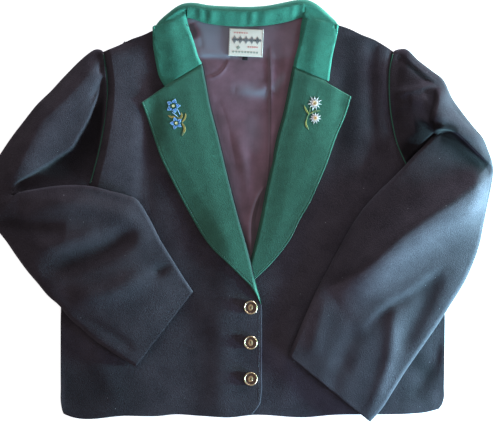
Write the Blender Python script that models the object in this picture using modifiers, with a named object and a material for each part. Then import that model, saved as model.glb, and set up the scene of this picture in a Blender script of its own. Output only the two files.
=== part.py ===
"""A women's loden jacket, laid flat on its back with both sleeves folded across the front.

It is a cropped jacket of dark loden with a green wool collar and lapels, green piping at the
armholes and three buttons. Tables and sizes are in millimetres: across is +X, up is +Y towards the
collar, and 0, 0 is the middle of the hem. The wearer's right side is at -X. Each cloth piece is a
wall of its own, and each layer's height is worked out from the layers beneath it.
"""

import collections
import math

import bmesh
import bpy
import numpy as np
from mathutils import Vector

MM = 0.001

# Walls and gaps
LODEN = 2.0
GREEN_WOOL = 2.4
SATIN = 1.0
LABEL_TAPE = 0.6
SEAM = 0.3  # between pieces at a seam
LAYER = 0.5  # between pieces that lie on each other

# Body
NECK_SEAM_LOW = 576.0
LINING_MARGIN = 25.0
LINING_FOOT = 150.0
LINING_SPACE = 1.5  # between the back and the fronts, for the lining
EDGE_INSET = 2.8  # how far a front's neck edge lies inside the roll of its lapel
HIDDEN_FRONT_EDGE = -20.0

# Collar
FALL_EDGE_UP = 536.0
FALL_EDGE_RISE = 32.0
FALL_HALF_WIDTH = 141.0

# Sleeves
SIDE_FOLD = 6.0  # thickness of a laid sleeve at its side folds
ARMHOLE_THICKNESS = 4.7
MOST_THICKNESS = 11.5
BODY_LEVEL = 7.2  # where a sleeve lies on the body
PIPING_RADIUS = 1.1

# Buttons, label and size tab
BUTTON_ACROSS = 2.5
BUTTON_UP = (159.5, 107.5, 54.0)
BUTTON_RADIUS = 10.2
LABEL_SIZE = (50.5, 40.5)
LABEL_CENTRE = (-4.5, 550.5)
LABEL_TILT = math.radians(-2.5)
TAB_SIZE = (14.0, 6.0)
TAB_CENTRE = (-4.5, 526.2)


def table(columns, rows):
    """Rows of numbers under named columns."""
    row_type = collections.namedtuple("Row", columns)
    return [row_type(*row) for row in rows]


# Outlines: how far across each edge lies at a height up the jacket
RIGHT_SIDE = table("up across", [
    (-4, -272), (4, -276), (14, -278), (40, -278.4), (100, -278.6), (160, -278), (205, -275),
    (250, -268), (290, -257), (325, -246), (338, -238), (369, -228), (413, -218), (454, -212),
    (482, -210), (503, -211), (522, -214), (537, -216),
])
LEFT_SIDE = table("up across", [
    (-4, 276), (4, 284), (13, 287.6), (35, 288.4), (80, 289), (115, 289.5), (150, 289.5),
    (205, 285), (250, 276), (290, 265), (325, 254), (338, 248),
    (371, 233), (404, 219), (425, 214), (450, 210), (487, 208), (512, 209), (524, 211), (537, 214),
])
SHOULDERS_AND_NECK = table("across up", [
    (-216, 537), (-194, 546), (-173, 556), (-156, 562), (-141, 569), (-124, 576), (-100, 586),
    (-92, 588), (-65, 581), (-36, 577), (1, 576), (38, 579), (61, 584), (80, 589), (92, 588),
    (130, 577), (148, 571), (167, 562), (185, 555), (202, 545), (214, 537),
])
HEM = table("across up", [
    (-278, 4), (-272, 1), (-180, -1), (-130, -1), (-113, 1), (-72, -1), (-25, -3), (0, 0),
    (87, -3), (120, 0), (190, 1), (237, 2), (260, 4), (288, 11),
])
RIGHT_ROLL = table("up across", [
    (160, 19), (175, 16), (189, 12), (215, 6), (244, -1), (293, -15), (351, -30), (414, -45),
    (460, -57), (496, -64), (517, -69), (530, -76), (554, -83), (571, -90), (590, -94),
])
LEFT_ROLL = table("up across", [
    (160, -19), (170, -16), (188, -11), (203, -6), (216, -2), (237, 4), (260, 10), (292, 17),
    (339, 26), (371, 33), (411, 41), (444, 50), (471, 56), (491, 60), (514, 65), (539, 72),
    (567, 77), (590, 81),
])
RIGHT_LAPEL_EDGE = table("up across", [
    (165, 17), (184, 7), (192, 1), (204, -11), (226, -33), (244, -52), (263, -67), (293, -85),
    (324, -102), (351, -116), (380, -130), (414, -142), (451, -155), (461, -159),
])
LEFT_LAPEL_EDGE = table("up across", [
    (174, -12), (188, -1), (203, 11), (216, 25), (237, 44), (260, 61), (292, 77), (312, 89),
    (338, 101), (371, 115), (411, 129), (444, 143), (470, 151),
])
FRONT_CORNER = table("up across", [(0, 4), (6, 9), (15, 15.5), (30, 18.5), (60, 19), (160, 19)])

# Stations round the collar: its free edge, the fold that shows as its outline, and the edge where
# it rolls inwards. A height of 0 means that it follows the front beneath.
COLLAR = table("edge_across edge_up fold_across fold_up roll_across roll_up over", [
    (-124.4, 486.6, -99, 502, -70.6, 519.4, 0),
    (-132.5, 502, -105, 516, -76, 531, 0),
    (-137, 522, -111, 534, -80.5, 546, 0),
    (-140, 542, -115, 551, -85, 560, 0),
    (-141, 557, -117, 563, -88.5, 570, 0),
    (-141.2, 567, -119, 573, -91, 579, 0),
    (-140.8, 574, -121, 580, -92.6, 586, 0),
    (-134, 569, -137, 577, -93.6, 592, 10.4),
    (-123, 560, -131.5, 584, -93.8, 597, 10.4),
    (-108, 553, -119.5, 594.5, -92.8, 600.5, 10.2),
    (-92, 547, -106, 604.5, -90.5, 602.5, 9.4),
    (-78, 543, -94.5, 609, -86.5, 602.8, 7.6),
    (-64, 540.5, -80, 609.6, -77, 603, 6.4),
    (-44, 538, -58, 606, -57, 599.4, 6.2),
    (-22, 536.5, -28, 604.4, -28, 597.8, 6.2),
    (0, 536, 0, 603.8, 0, 597.2, 6.2),
    (22, 536.5, 26, 605.4, 26, 598.8, 6.2),
    (42, 538, 50, 609.8, 48, 603.2, 6.2),
    (58, 540, 68, 613.4, 65, 606.6, 6.4),
    (72, 543, 84, 614.4, 77, 608, 7.6),
    (86, 547, 97, 609.4, 82, 606.5, 9.4),
    (100, 553, 109, 600.5, 83, 601.8, 10.2),
    (112, 559, 121, 592, 82, 596, 10.4),
    (122, 573, 128.5, 586, 80.8, 590.5, 10.4),
    (131.4, 584.6, 108, 583.6, 79.6, 584.4, 0),
    (130, 573.6, 106, 575, 78, 577, 0),
    (129, 564, 104, 565.5, 76.6, 567, 0),
    (126, 548, 101, 549, 74.6, 551, 0),
    (122.4, 530, 96, 532.5, 71, 536, 0),
    (119.6, 511, 93, 518, 67.4, 523, 0),
    (117.4, 493.8, 93, 504.6, 66.6, 515.4, 0),
])

# Rings along each sleeve, from armhole to cuff: the side folds, how far the ring still follows the
# armhole, how high its under wall is lifted at the inner fold, and its thickness
RIGHT_SLEEVE = table("inner_across inner_up outer_across outer_up follow lift thickness", [
    (-238.8, 339, -216.4, 537, 1, 0, 4.7),
    (-242, 335, -222, 541, 0.85, 0, 7),
    (-246, 333, -232, 539, 0.6, 0, 9.5),
    (-255, 332, -250, 525, 0.4, 0, 11),
    (-265, 331, -274, 501, 0.25, 0, 11.4),
    (-278, 330, -293, 480, 0.12, 0, 11.4),
    (-292, 329.5, -314, 459, 0, 0, 11.4),
    (-305, 329, -333, 435, 0, 0, 11.2),
    (-318, 328, -352, 410, 0, 0, 11),
    (-330, 327, -370, 383, 0, 0, 10.6),
    (-339, 327, -382, 363, 0, 0, 10),
    (-345, 326, -388, 342, 0, 1, 9.4),
    (-348, 325.5, -390, 325, 0, 3, 9),
    (-347, 325.5, -388.5, 307, 0, 5.4, 9),
    (-341, 329, -382, 288, 0, 7, 9.4),
    (-330, 332, -370, 271, 0, 7, 10),
    (-312, 335, -358, 256, 0, 7.2, 10.6),
    (-289, 338.5, -345, 237, 0, 7.4, 11),
    (-260, 340.5, -329, 215, 0, 7.6, 11.2),
    (-232, 338.5, -312, 195, 0, 7.8, 11.4),
    (-206, 332, -297, 177, 0, 7, 11.4),
    (-181, 325.5, -280, 162, 0, 5, 11.4),
    (-163.5, 317, -265, 143.5, 0, 3, 11.2),
    (-146.5, 290, -247, 128, 0, 0, 11),
    (-130, 258, -229.5, 112.5, 0, 0, 10.4),
    (-112.5, 229.5, -210, 99, 0, 0, 9.6),
    (-96, 203, -188.5, 85, 0, 0, 8.6),
    (-82.5, 183, -167.5, 71.5, 0, 0, 7.6),
])
LEFT_SLEEVE = table("inner_across inner_up outer_across outer_up follow lift thickness", [
    (248.8, 339, 214.4, 537, 1, 0, 4.7),
    (251.5, 338, 223.5, 541.4, 0.85, 0, 7),
    (254.5, 343, 235.5, 540, 0.6, 0, 9.5),
    (257.5, 351, 251.5, 524.7, 0.4, 0, 11),
    (260.5, 359.6, 272, 509, 0.25, 0, 11.4),
    (263.4, 368.5, 288.6, 495, 0.1, 0, 11.4),
    (266.4, 377, 300.4, 469, 0, 0, 11.4),
    (269.4, 386, 316.7, 446, 0, 0, 11.4),
    (271.6, 393.7, 333, 425.5, 0, 0, 11.2),
    (273.8, 399.6, 346, 410, 0, 0.5, 11),
    (275.3, 405, 353.7, 392, 0, 1.5, 10.6),
    (275.3, 409, 359, 377, 0, 3, 10.2),
    (272.3, 412, 361.4, 365, 0, 5, 9.8),
    (266.4, 407, 361, 355.6, 0, 6.8, 9.8),
    (256, 396.6, 359, 342.6, 0, 7.4, 10),
    (244, 384.8, 356, 327, 0, 7.8, 10.4),
    (229.4, 368.5, 351.5, 305.6, 0, 7.8, 10.8),
    (211.6, 350, 346.3, 279.7, 0, 6, 11.2),
    (189.4, 328.6, 340.4, 251.6, 0, 3, 11.4),
    (167.2, 303.4, 330, 222, 0, 0, 11.4),
    (148, 273.8, 316.7, 193.9, 0, 0, 11.4),
    (130.2, 242, 299, 165.8, 0, 0, 11.4),
    (114, 211.6, 278.2, 133.2, 0, 0, 11.2),
    (99.2, 183.5, 254.6, 99.2, 0, 0, 11),
    (85.8, 154, 231, 65, 0, 0, 10.4),
    (74, 125.8, 211.6, 34, 0, 0, 9.6),
    (65, 105, 197, 11, 0, 0, 8.6),
    (58.4, 89, 179, -9.6, 0, 0, 7.6),
])

# The largest soft folds of each piece: a ridge where the height is positive, a trough where it isn't
FRONT_FOLDS = table("from_across from_up to_across to_up reach height", [
    (-184, 540, -184, 420, 22, 3),
    (172, 540, 168, 440, 22, 2.4),
])
RIGHT_SLEEVE_FOLDS = table("from_across from_up to_across to_up reach height", [
    (-229, 520, -272, 482, 15, 1.6), (-272, 482, -318, 405, 17, 2), (-318, 405, -338, 360, 15, 2),
    (-221, 468, -243, 405, 10, -4.5), (-243, 405, -285, 368, 10, -4.5),
    (-285, 368, -325, 343, 9, -4), (-219, 534, -238, 521, 5, -2.5), (-214, 500, -232, 470, 6, -2.5),
    (-216, 482, -228, 455, 6, 2), (-300, 214, -223, 240, 17, -3), (-223, 240, -161, 281, 17, -3),
    (-365, 284, -278, 276, 13, -2), (-135, 214, -112, 228, 11, -2),
])
LEFT_SLEEVE_FOLDS = table("from_across from_up to_across to_up reach height", [
    (217, 532, 256, 510, 7, 2.4), (256, 510, 288, 488, 8, 2), (212, 478, 270, 488, 10, 2.2),
    (268, 458, 264, 440, 9, -3.5), (262, 420, 286, 430, 9, 1.5), (286, 430, 318, 414, 9, 1.5),
    (318, 414, 350, 382, 8, 1.5), (288, 412, 320, 396, 7, -4), (320, 396, 354, 362, 7, -4),
    (349, 306, 260, 215, 18, 2), (219, 164, 205, 92, 12, 2.2), (205, 92, 178, 12, 12, 2.2),
    (200, 150, 168, 40, 10, -2.4), (281, 190, 228, 126, 12, -2.4),
])


def ramp(value, low, high):
    """0 below low, 1 above high, and a smooth step between."""
    share = min(max((value - low) / (high - low), 0.0), 1.0)
    return share * share * (3 - 2 * share)


def curve_at(rows, key, column, value):
    """A column's value where the key column reaches value, along a smooth curve through the rows."""
    keys = [getattr(row, key) for row in rows]
    values = [getattr(row, column) for row in rows]
    slopes = np.gradient(values, keys)
    at = min(max(value, keys[0]), keys[-1])
    i = min(max(int(np.searchsorted(keys, at)) - 1, 0), len(keys) - 2)
    span = keys[i + 1] - keys[i]
    s = (at - keys[i]) / span
    start = (1 + 2 * s) * (1 - s) ** 2 * values[i] + s * (1 - s) ** 2 * span * slopes[i]
    end = s * s * (3 - 2 * s) * values[i + 1] - s * s * (1 - s) * span * slopes[i + 1]
    return float(start + end)


def across_at(rows, up):
    return curve_at(rows, "up", "across", up)


def up_at(rows, across):
    return curve_at(rows, "across", "up", across)


def fold_height(folds, across, up):
    """The summed height of the soft folds at a place."""
    total = 0.0
    for fold in folds:
        run = Vector((fold.to_across - fold.from_across, fold.to_up - fold.from_up))
        offset = Vector((across - fold.from_across, up - fold.from_up))
        share = min(max(offset.dot(run) / run.length_squared, 0.0), 1.0)
        away = (offset - share * run).length
        total += fold.height * math.exp(-((away / fold.reach) ** 2))
    return total


# Heights of the stacked layers


def neck_lift(across, up):
    """How far the collar's fall, lying under the back, lifts the layers above it."""
    edge = FALL_EDGE_UP + FALL_EDGE_RISE * (across / FALL_HALF_WIDTH) ** 2
    return (GREEN_WOOL + LAYER) * ramp(up, edge - 100, edge - 4)


def lining_edges(up):
    """Where the lining ends across, at a height up the jacket."""
    rolls = (across_at(RIGHT_ROLL, up), across_at(LEFT_ROLL, up))
    return min(rolls) - LINING_MARGIN, max(rolls) + LINING_MARGIN


def lining_bottom(across, up):
    return neck_lift(across, up) + LODEN + LAYER


def left_front_bottom(across, up):
    """The wearer's left front lies on the lining, and comes down to the back at its side seam."""
    inside = min(across - across_at(RIGHT_SIDE, up), across_at(LEFT_SIDE, up) - across)
    lining = LINING_SPACE * ramp(inside, 0, 70)
    return neck_lift(across, up) + LODEN + SEAM + lining + fold_height(FRONT_FOLDS, across, up)


def right_front_bottom(across, up):
    """The wearer's right front buttons over the left one and, higher up, over its lapel."""
    front = (LODEN + LAYER) * ramp(across, -95, HIDDEN_FRONT_EDGE - 5)
    lapel = (GREEN_WOOL + LAYER) * ramp(across, -95, -22) * ramp(up, 80, 165)
    return left_front_bottom(across, up) + (front + lapel) * (1 - ramp(up, 228, 370))


# Ways to build a piece


def new_object(name, mesh, colour, roughness, metallic=0.0):
    """A node in the jacket's collection, with its own Principled material."""
    material = bpy.data.materials.new(name + "_material")
    material.use_nodes = True
    shader = material.node_tree.nodes["Principled BSDF"]
    shader.inputs["Base Color"].default_value = (*colour, 1)
    shader.inputs["Roughness"].default_value = roughness
    shader.inputs["Metallic"].default_value = metallic
    mesh.materials.append(material)
    node = bpy.data.objects.new(name, mesh)
    jacket.objects.link(node)
    node.parent = home
    return node


def cloth_piece(name, segments, place, colour, roughness=0.9, tube=False):
    """A wall of cloth between two skins: place gives a point of either from shares of the grid."""
    bm = bmesh.new()
    bmesh.ops.create_grid(bm, x_segments=segments[0], y_segments=segments[1], size=0.5)
    round_share = bm.verts.layers.float.new("round_share")
    along_share = bm.verts.layers.float.new("along_share")
    for vert in bm.verts:
        vert[round_share] = vert.co.x + 0.5
        vert[along_share] = vert.co.y + 0.5
        if tube:
            turn = 2 * math.pi * vert[round_share]
            vert.co = (math.cos(turn), math.sin(turn), 10 * vert[along_share])
    if tube:
        bmesh.ops.remove_doubles(bm, verts=bm.verts[:], dist=1e-4)
    made = bmesh.ops.extrude_face_region(bm, geom=bm.faces[:], use_keep_orig=True)
    far_skin = {item for item in made["geom"] if isinstance(item, bmesh.types.BMVert)}
    for vert in bm.verts:
        point = place(vert[round_share], vert[along_share], vert in far_skin)
        vert.co = Vector(point) * MM
    bmesh.ops.recalc_face_normals(bm, faces=bm.faces[:])
    if bm.calc_volume(signed=True) < 0:
        bmesh.ops.reverse_faces(bm, faces=bm.faces[:])
    mesh = bpy.data.meshes.new(name)
    bm.to_mesh(mesh)
    bm.free()
    mesh.shade_smooth()
    mesh.set_sharp_from_angle(angle=math.radians(50))
    return new_object(name, mesh, colour, roughness)


def laid_piece(name, segments, place, bottom, thickness, colour, roughness=0.9):
    """A sheet that lies on what is beneath it: place gives only across and up."""

    def point(share, rise, upper):
        across, up = place(share, rise)
        return across, up, bottom(across, up) + (thickness if upper else 0.0)

    return cloth_piece(name, segments, point, colour, roughness)


def folded_piece(name, segments, place, thickness, colour, roughness=0.9):
    """A sheet folded over on itself: place gives the middle of its wall."""
    bm = bmesh.new()
    bmesh.ops.create_grid(bm, x_segments=segments[0], y_segments=segments[1], size=0.5)
    for vert in bm.verts:
        vert.co = Vector(place(vert.co.x + 0.5, vert.co.y + 0.5)) * MM
    mesh = bpy.data.meshes.new(name)
    bm.to_mesh(mesh)
    bm.free()
    mesh.shade_smooth()
    node = new_object(name, mesh, colour, roughness)
    wall = node.modifiers.new("wall", "SOLIDIFY")
    wall.thickness = thickness * MM
    wall.offset = 0
    wall.use_rim = True
    return node


# The body


def build_back():
    left_end, right_end = SHOULDERS_AND_NECK[0], SHOULDERS_AND_NECK[-1]

    def place(share, rise):
        top_across = left_end.across + share * (right_end.across - left_end.across)
        low = across_at(RIGHT_SIDE, rise * left_end.up)
        high = across_at(LEFT_SIDE, rise * right_end.up)
        across = low + share * (high - low)
        top = up_at(SHOULDERS_AND_NECK, top_across) - shoulder_notch(top_across)
        return across, rise * top + (1 - rise) * up_at(HEM, across)

    return laid_piece("back_panel", (20, 16), place, neck_lift, LODEN, LODEN_COLOUR)


def shoulder_notch(across):
    """The clearance cut in the shoulder line where the collar passes round it."""
    right = ramp(across, -143, -136) * (1 - ramp(across, -112, -104))
    left = (1 - ramp(across, 124, 131)) * ramp(across, 92, 100)
    return 9 * (right + left)


def build_lining():
    def place(share, rise):
        up = LINING_FOOT + rise * (NECK_SEAM_LOW - 1 - LINING_FOOT)
        low, high = lining_edges(up)
        across = low + share * (high - low)
        seam_rise = up_at(SHOULDERS_AND_NECK, min(max(across, -88), 76)) - NECK_SEAM_LOW
        return across, up + seam_rise * ramp(rise, 0.8, 1.0) - shoulder_notch(across) * rise

    return laid_piece("back_lining", (16, 12), place, lining_bottom, SATIN, LINING_COLOUR, 0.4)


def front_inner_edge(rolls, corner, up):
    """A front's inner edge: the closing edge below, then the neck edge just inside the roll."""
    if up <= rolls[0].up:
        return corner(up)
    side = -1 if rolls is RIGHT_ROLL else 1
    inset = EDGE_INSET * ramp(up, rolls[0].up + 10, rolls[0].up + 50)
    return across_at(rolls, up) + side * inset


def build_front(name, sides, rolls, corner, bottom):
    outer_top = sides[-1].up
    inner_top = 583.0

    def place(share, rise):
        outer_up, inner_up = rise * outer_top, rise * inner_top
        outer = across_at(sides, outer_up)
        inner = front_inner_edge(rolls, corner, inner_up)
        across = outer + share * (inner - outer)
        up = outer_up + share * (inner_up - outer_up)
        shoulder = up_at(SHOULDERS_AND_NECK, across) - shoulder_notch(across)
        up += (shoulder - up) * ramp(rise, 0.9, 1.0) * (1 - ramp(share, 0.96, 1.0))
        return across, up + up_at(HEM, across) * (1 - rise) ** 6

    return laid_piece(name, (14, 20), place, bottom, LODEN, LODEN_COLOUR)


def build_lapel(name, edges, rolls, side, front_bottom):
    """The lapel lies on its front and rolls down round the front's neck edge."""
    segments = (9, 17)
    tip_up, top_up = rolls[0].up + 4, 517.0 if side < 0 else 513.0
    low_up, point_up = edges[0].up, edges[-1].up
    roll_steps = (0.0, 1.1, 2.3)

    def place(share, rise):
        roll_up = tip_up + rise * (top_up - tip_up)
        edge_up = low_up + rise * (point_up - low_up)
        roll = Vector((across_at(rolls, roll_up), roll_up))
        edge = Vector((across_at(edges, edge_up), edge_up))
        width = (edge - roll).length
        step = share * segments[0]
        if step < 2.5:
            share = min(roll_steps[int(round(step))] / width, 0.1 * step)
        else:
            start = min(roll_steps[2] / width, 0.2)
            share = start + (1 - start) * (step - 2) / (segments[0] - 2)
        notch = 3.5 * rise ** 10 * (1 - abs(share - 0.62) / 0.62)
        point = roll + share * (edge - roll)
        return point.x, point.y + max(notch, 0.0) - 0.4 * rise ** 10

    def bottom(across, up):
        inside = (across_at(rolls, up) - across) * -side
        spring = 1.0 * ramp(inside, 30, 110) * ramp(up, 260, 330)
        over_front = LODEN + LAYER if inside > 2.0 or up < rolls[0].up + 56 else 0.0
        return front_bottom(across, up) + over_front + spring

    return laid_piece(name, segments, place, bottom, GREEN_WOOL, GREEN_COLOUR)


# The collar


def collar_point(row, share):
    """A point across one station of the collar, from its free edge over its fold to its roll."""
    edge = Vector((row.edge_across, row.edge_up))
    fold = Vector((row.fold_across, row.fold_up))
    roll = Vector((row.roll_across, row.roll_up))
    half = GREEN_WOOL / 2
    if row.over == 0:
        spot = edge.lerp(roll, share)
        drop = 1.5 * ramp(share, 0.93, 1.0)
        front = right_front_bottom(spot.x, spot.y) + LODEN
        return spot.x, spot.y, front + LAYER + 0.3 + half - drop
    low, high = half, row.over
    radius = (high - low) / 2
    outward = (fold - edge).normalized()
    centre = fold - outward * (radius + half)
    if share < 0.4:
        spot = edge.lerp(centre, share / 0.4)
        return spot.x, spot.y, low
    if share < 0.65:
        angle = math.pi * ((share - 0.4) / 0.25 - 0.5)
        spot = centre + outward * radius * math.cos(angle)
        return spot.x, spot.y, low + radius + radius * math.sin(angle)
    spot = centre.lerp(roll, (share - 0.65) / 0.35)
    return spot.x, spot.y, high


def build_collar():
    stations = len(COLLAR) - 1

    def place(share, rise):
        at = rise * stations
        i = min(int(at), stations - 1)
        return [
            first + (at - i) * (second - first)
            for first, second in zip(collar_point(COLLAR[i], share), collar_point(COLLAR[i + 1], share))
        ]

    return folded_piece("collar", (16, stations), place, GREEN_WOOL, GREEN_COLOUR)


def build_stand():
    """The band inside the neck, between the neck seam and the collar's top edge."""
    ends = (-85.0, 74.0)
    tops = table("across up", [(r.roll_across, r.roll_up) for r in COLLAR if 0 < r.over < 7.8])

    def place(share, rise):
        across = ends[0] + share * (ends[1] - ends[0])
        low = up_at(SHOULDERS_AND_NECK, across) - 1.5
        return across, low + rise * (up_at(tops, across) - 1.6 - low)

    def bottom(across, up):
        seam = up_at(SHOULDERS_AND_NECK, across)
        return lining_bottom(across, seam) + SATIN + LAYER - 1.5 * ramp(up, seam + 4, seam + 20)

    return laid_piece("collar_stand", (16, 3), place, bottom, GREEN_WOOL, GREEN_COLOUR)


# The sleeves


def body_height(across, up):
    """The height that a sleeve must clear where it lies on the body, fading out beside it."""
    low, high = across_at(RIGHT_SIDE, up), across_at(LEFT_SIDE, up)
    return BODY_LEVEL * ramp(across, low - 40, low - 3) * (1 - ramp(across, high + 3, high + 40))


def build_sleeve(name, rows, sides, folds, side):
    flat_points = 10
    turn_points = 3
    around = 2 * (flat_points + turn_points)

    def section_spot(step, inset):
        """Where a step round the ring lies: its share of the chord and its turn from the under wall."""
        if step < flat_points:
            return inset + (1 - 2 * inset) * step / (flat_points - 1), 0.0
        if step < flat_points + turn_points:
            return 1.0, math.pi * (step - flat_points + 1) / (turn_points + 1)
        if step < 2 * flat_points + turn_points:
            back = (step - flat_points - turn_points) / (flat_points - 1)
            return 1 - inset - (1 - 2 * inset) * back, math.pi
        return 0.0, math.pi * (1 + (step - 2 * flat_points - turn_points + 1) / (turn_points + 1))

    def place(share, rise, inner_skin):
        row = rows[int(round(rise * (len(rows) - 1)))]
        inner = Vector((row.inner_across, row.inner_up))
        outer = Vector((row.outer_across, row.outer_up))
        edge = min(SIDE_FOLD, row.thickness)
        radius = edge / 2 - (LODEN if inner_skin else 0.0)
        inset = edge / 2 / (outer - inner).length
        part, turn = section_spot(int(round(share * around)) % around, inset)
        centre_part = min(max(part, inset), 1 - inset)
        spot = inner.lerp(outer, centre_part)
        if 0 < turn != math.pi:
            spot += (outer - inner).normalized() * radius * math.sin(turn)
        armhole = across_at(sides, inner.y + centre_part * (outer.y - inner.y))
        armhole += side * (0.9 + 3.5 * (1 - centre_part) ** 6)
        spot.x += row.follow * (armhole - spot.x)
        base = row.lift * (1 - centre_part) ** 1.2
        if row.follow < 0.05:
            base = max(base, body_height(spot.x, spot.y))
        if 0 < turn != math.pi:
            return spot.x, spot.y, base + edge / 2 - radius * math.cos(turn)
        wall = LODEN if inner_skin else 0.0
        if turn == 0.0:
            return spot.x, spot.y, base + wall
        swell = math.sin(math.pi * centre_part) ** 0.6
        height = edge + (row.thickness - edge) * swell
        if row.follow < 0.9:
            height += fold_height(folds, spot.x, spot.y) * ramp(swell, 0.2, 0.6)
        return spot.x, spot.y, base + min(max(height, ARMHOLE_THICKNESS), MOST_THICKNESS + 1) - wall

    return cloth_piece(name, (around, len(rows) - 1), place, LODEN_COLOUR, tube=True)


def build_piping(name, sides, side, lowest):
    """A cord along the armhole seam, from the shoulder to where the sleeve covers it."""
    curve = bpy.data.curves.new(name, "CURVE")
    curve.dimensions = "3D"
    curve.bevel_depth = PIPING_RADIUS * MM
    curve.bevel_resolution = 1
    curve.use_fill_caps = True
    points = 27
    spline = curve.splines.new("POLY")
    spline.points.add(points - 1)
    for i, point in enumerate(spline.points):
        up = lowest + (533.5 - lowest) * i / (points - 1)
        across = across_at(sides, up) - side * 1.3
        height = right_front_bottom(across, up) + LODEN + LAYER + PIPING_RADIUS
        point.co = (across * MM, up * MM, height * MM, 1)
    return new_object(name, curve, GREEN_COLOUR, 0.85)


# Buttons and labels


def build_button(number, up):
    """A turned brass button: a raised rim round a sunk ring and a domed boss."""
    profile = table("radius height", [
        (0.0, 3.6), (3.2, 3.3), (4.6, 2.0), (6.6, 1.9), (7.6, 3.4), (8.6, 4.2),
        (9.7, 3.7), (10.2, 2.2), (8.6, 0.0), (0.0, 0.0),
    ])
    bm = bmesh.new()
    verts = [bm.verts.new((row.radius * MM, 0, row.height * MM)) for row in profile]
    for first, second in zip(verts, verts[1:]):
        bm.edges.new((first, second))
    mesh = bpy.data.meshes.new(f"button_{number}")
    bm.to_mesh(mesh)
    bm.free()
    button = new_object(f"button_{number}", mesh, BRASS_COLOUR, 0.35, 0.9)
    turning = button.modifiers.new("turning", "SCREW")
    turning.steps = 20
    turning.render_steps = 20
    turning.use_merge_vertices = True
    turning.merge_threshold = 0.00001
    spots = [BUTTON_ACROSS - BUTTON_RADIUS * 0.7, BUTTON_ACROSS, BUTTON_ACROSS + BUTTON_RADIUS * 0.7]
    beneath = max(right_front_bottom(across, up + rise) for across in spots for rise in (-7, 0, 7))
    height = beneath + LODEN + SEAM
    button.location = (BUTTON_ACROSS * MM, up * MM, height * MM)
    return button


def build_tape(name, segments, size, centre, tilt, colour):
    """A woven tape label that lies on the lining."""
    turn = Vector((math.cos(tilt), math.sin(tilt)))

    def place(share, rise):
        along, over = (share - 0.5) * size[0], (rise - 0.5) * size[1]
        return centre[0] + along * turn.x - over * turn.y, centre[1] + along * turn.y + over * turn.x

    def bottom(across, up):
        return lining_bottom(across, up) + SATIN + LAYER

    return laid_piece(name, segments, place, bottom, LABEL_TAPE, colour, 0.7)


def centre_on_origin():
    """Moves the jacket so that its origin is the middle of the box round it, at its underside."""
    bpy.context.view_layer.update()
    graph = bpy.context.evaluated_depsgraph_get()
    points = []
    for node in jacket.objects:
        if node.type != "EMPTY":
            seen = node.evaluated_get(graph)
            points += [seen.matrix_world @ vert.co for vert in seen.to_mesh().vertices]
    lows = Vector(min(point[i] for point in points) for i in range(3))
    highs = Vector(max(point[i] for point in points) for i in range(3))
    home.location = (-(lows.x + highs.x) / 2, -(lows.y + highs.y) / 2, -lows.z)


LODEN_COLOUR = (0.018, 0.019, 0.028)
GREEN_COLOUR = (0.022, 0.115, 0.075)
LINING_COLOUR = (0.11, 0.075, 0.085)
TAPE_COLOUR = (0.72, 0.70, 0.63)
BRASS_COLOUR = (0.46, 0.36, 0.17)

for startup_object in list(bpy.data.objects):
    bpy.data.objects.remove(startup_object)
jacket = bpy.data.collections.new("tyrolean_loden_jacket")
bpy.context.scene.collection.children.link(jacket)
home = bpy.data.objects.new("jacket_home", None)
jacket.objects.link(home)

build_back()
build_lining()
build_front(
    "front_right", RIGHT_SIDE, RIGHT_ROLL, lambda up: across_at(FRONT_CORNER, up), right_front_bottom
)
build_front(
    "front_left", LEFT_SIDE, LEFT_ROLL, lambda up: HIDDEN_FRONT_EDGE, left_front_bottom
)
build_lapel("lapel_right", RIGHT_LAPEL_EDGE, RIGHT_ROLL, -1, right_front_bottom)
build_lapel("lapel_left", LEFT_LAPEL_EDGE, LEFT_ROLL, 1, left_front_bottom)
build_collar()
build_stand()
build_sleeve("sleeve_right", RIGHT_SLEEVE, RIGHT_SIDE, RIGHT_SLEEVE_FOLDS, -1)
build_sleeve("sleeve_left", LEFT_SLEEVE, LEFT_SIDE, LEFT_SLEEVE_FOLDS, 1)
build_piping("armhole_piping_right", RIGHT_SIDE, -1, 343.0)
build_piping("armhole_piping_left", LEFT_SIDE, 1, 366.0)
for number, up in enumerate(BUTTON_UP, start=1):
    build_button(number, up)
build_tape("neck_label", (5, 5), LABEL_SIZE, LABEL_CENTRE, LABEL_TILT, TAPE_COLOUR)
build_tape("size_tab", (2, 1), TAB_SIZE, TAB_CENTRE, LABEL_TILT, (0.02, 0.02, 0.022))
centre_on_origin()
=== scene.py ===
# %% [markdown]
# # A loden jacket, laid flat
# This lesson dresses a packed jacket. The real one is a cropped women's jacket of dark milled loden
# with a green wool collar and lapels, buttoned and laid on its back with both sleeves folded across
# it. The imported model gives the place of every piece. Here each one is made again as soft cloth, in
# the order of the layers: back, lining, fronts, lapels, collar, sleeves and then the trimmings.

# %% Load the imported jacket
import math

import bmesh
import bpy
import numpy as np
from mathutils import Matrix, Vector
from mathutils.bvhtree import BVHTree


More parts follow.
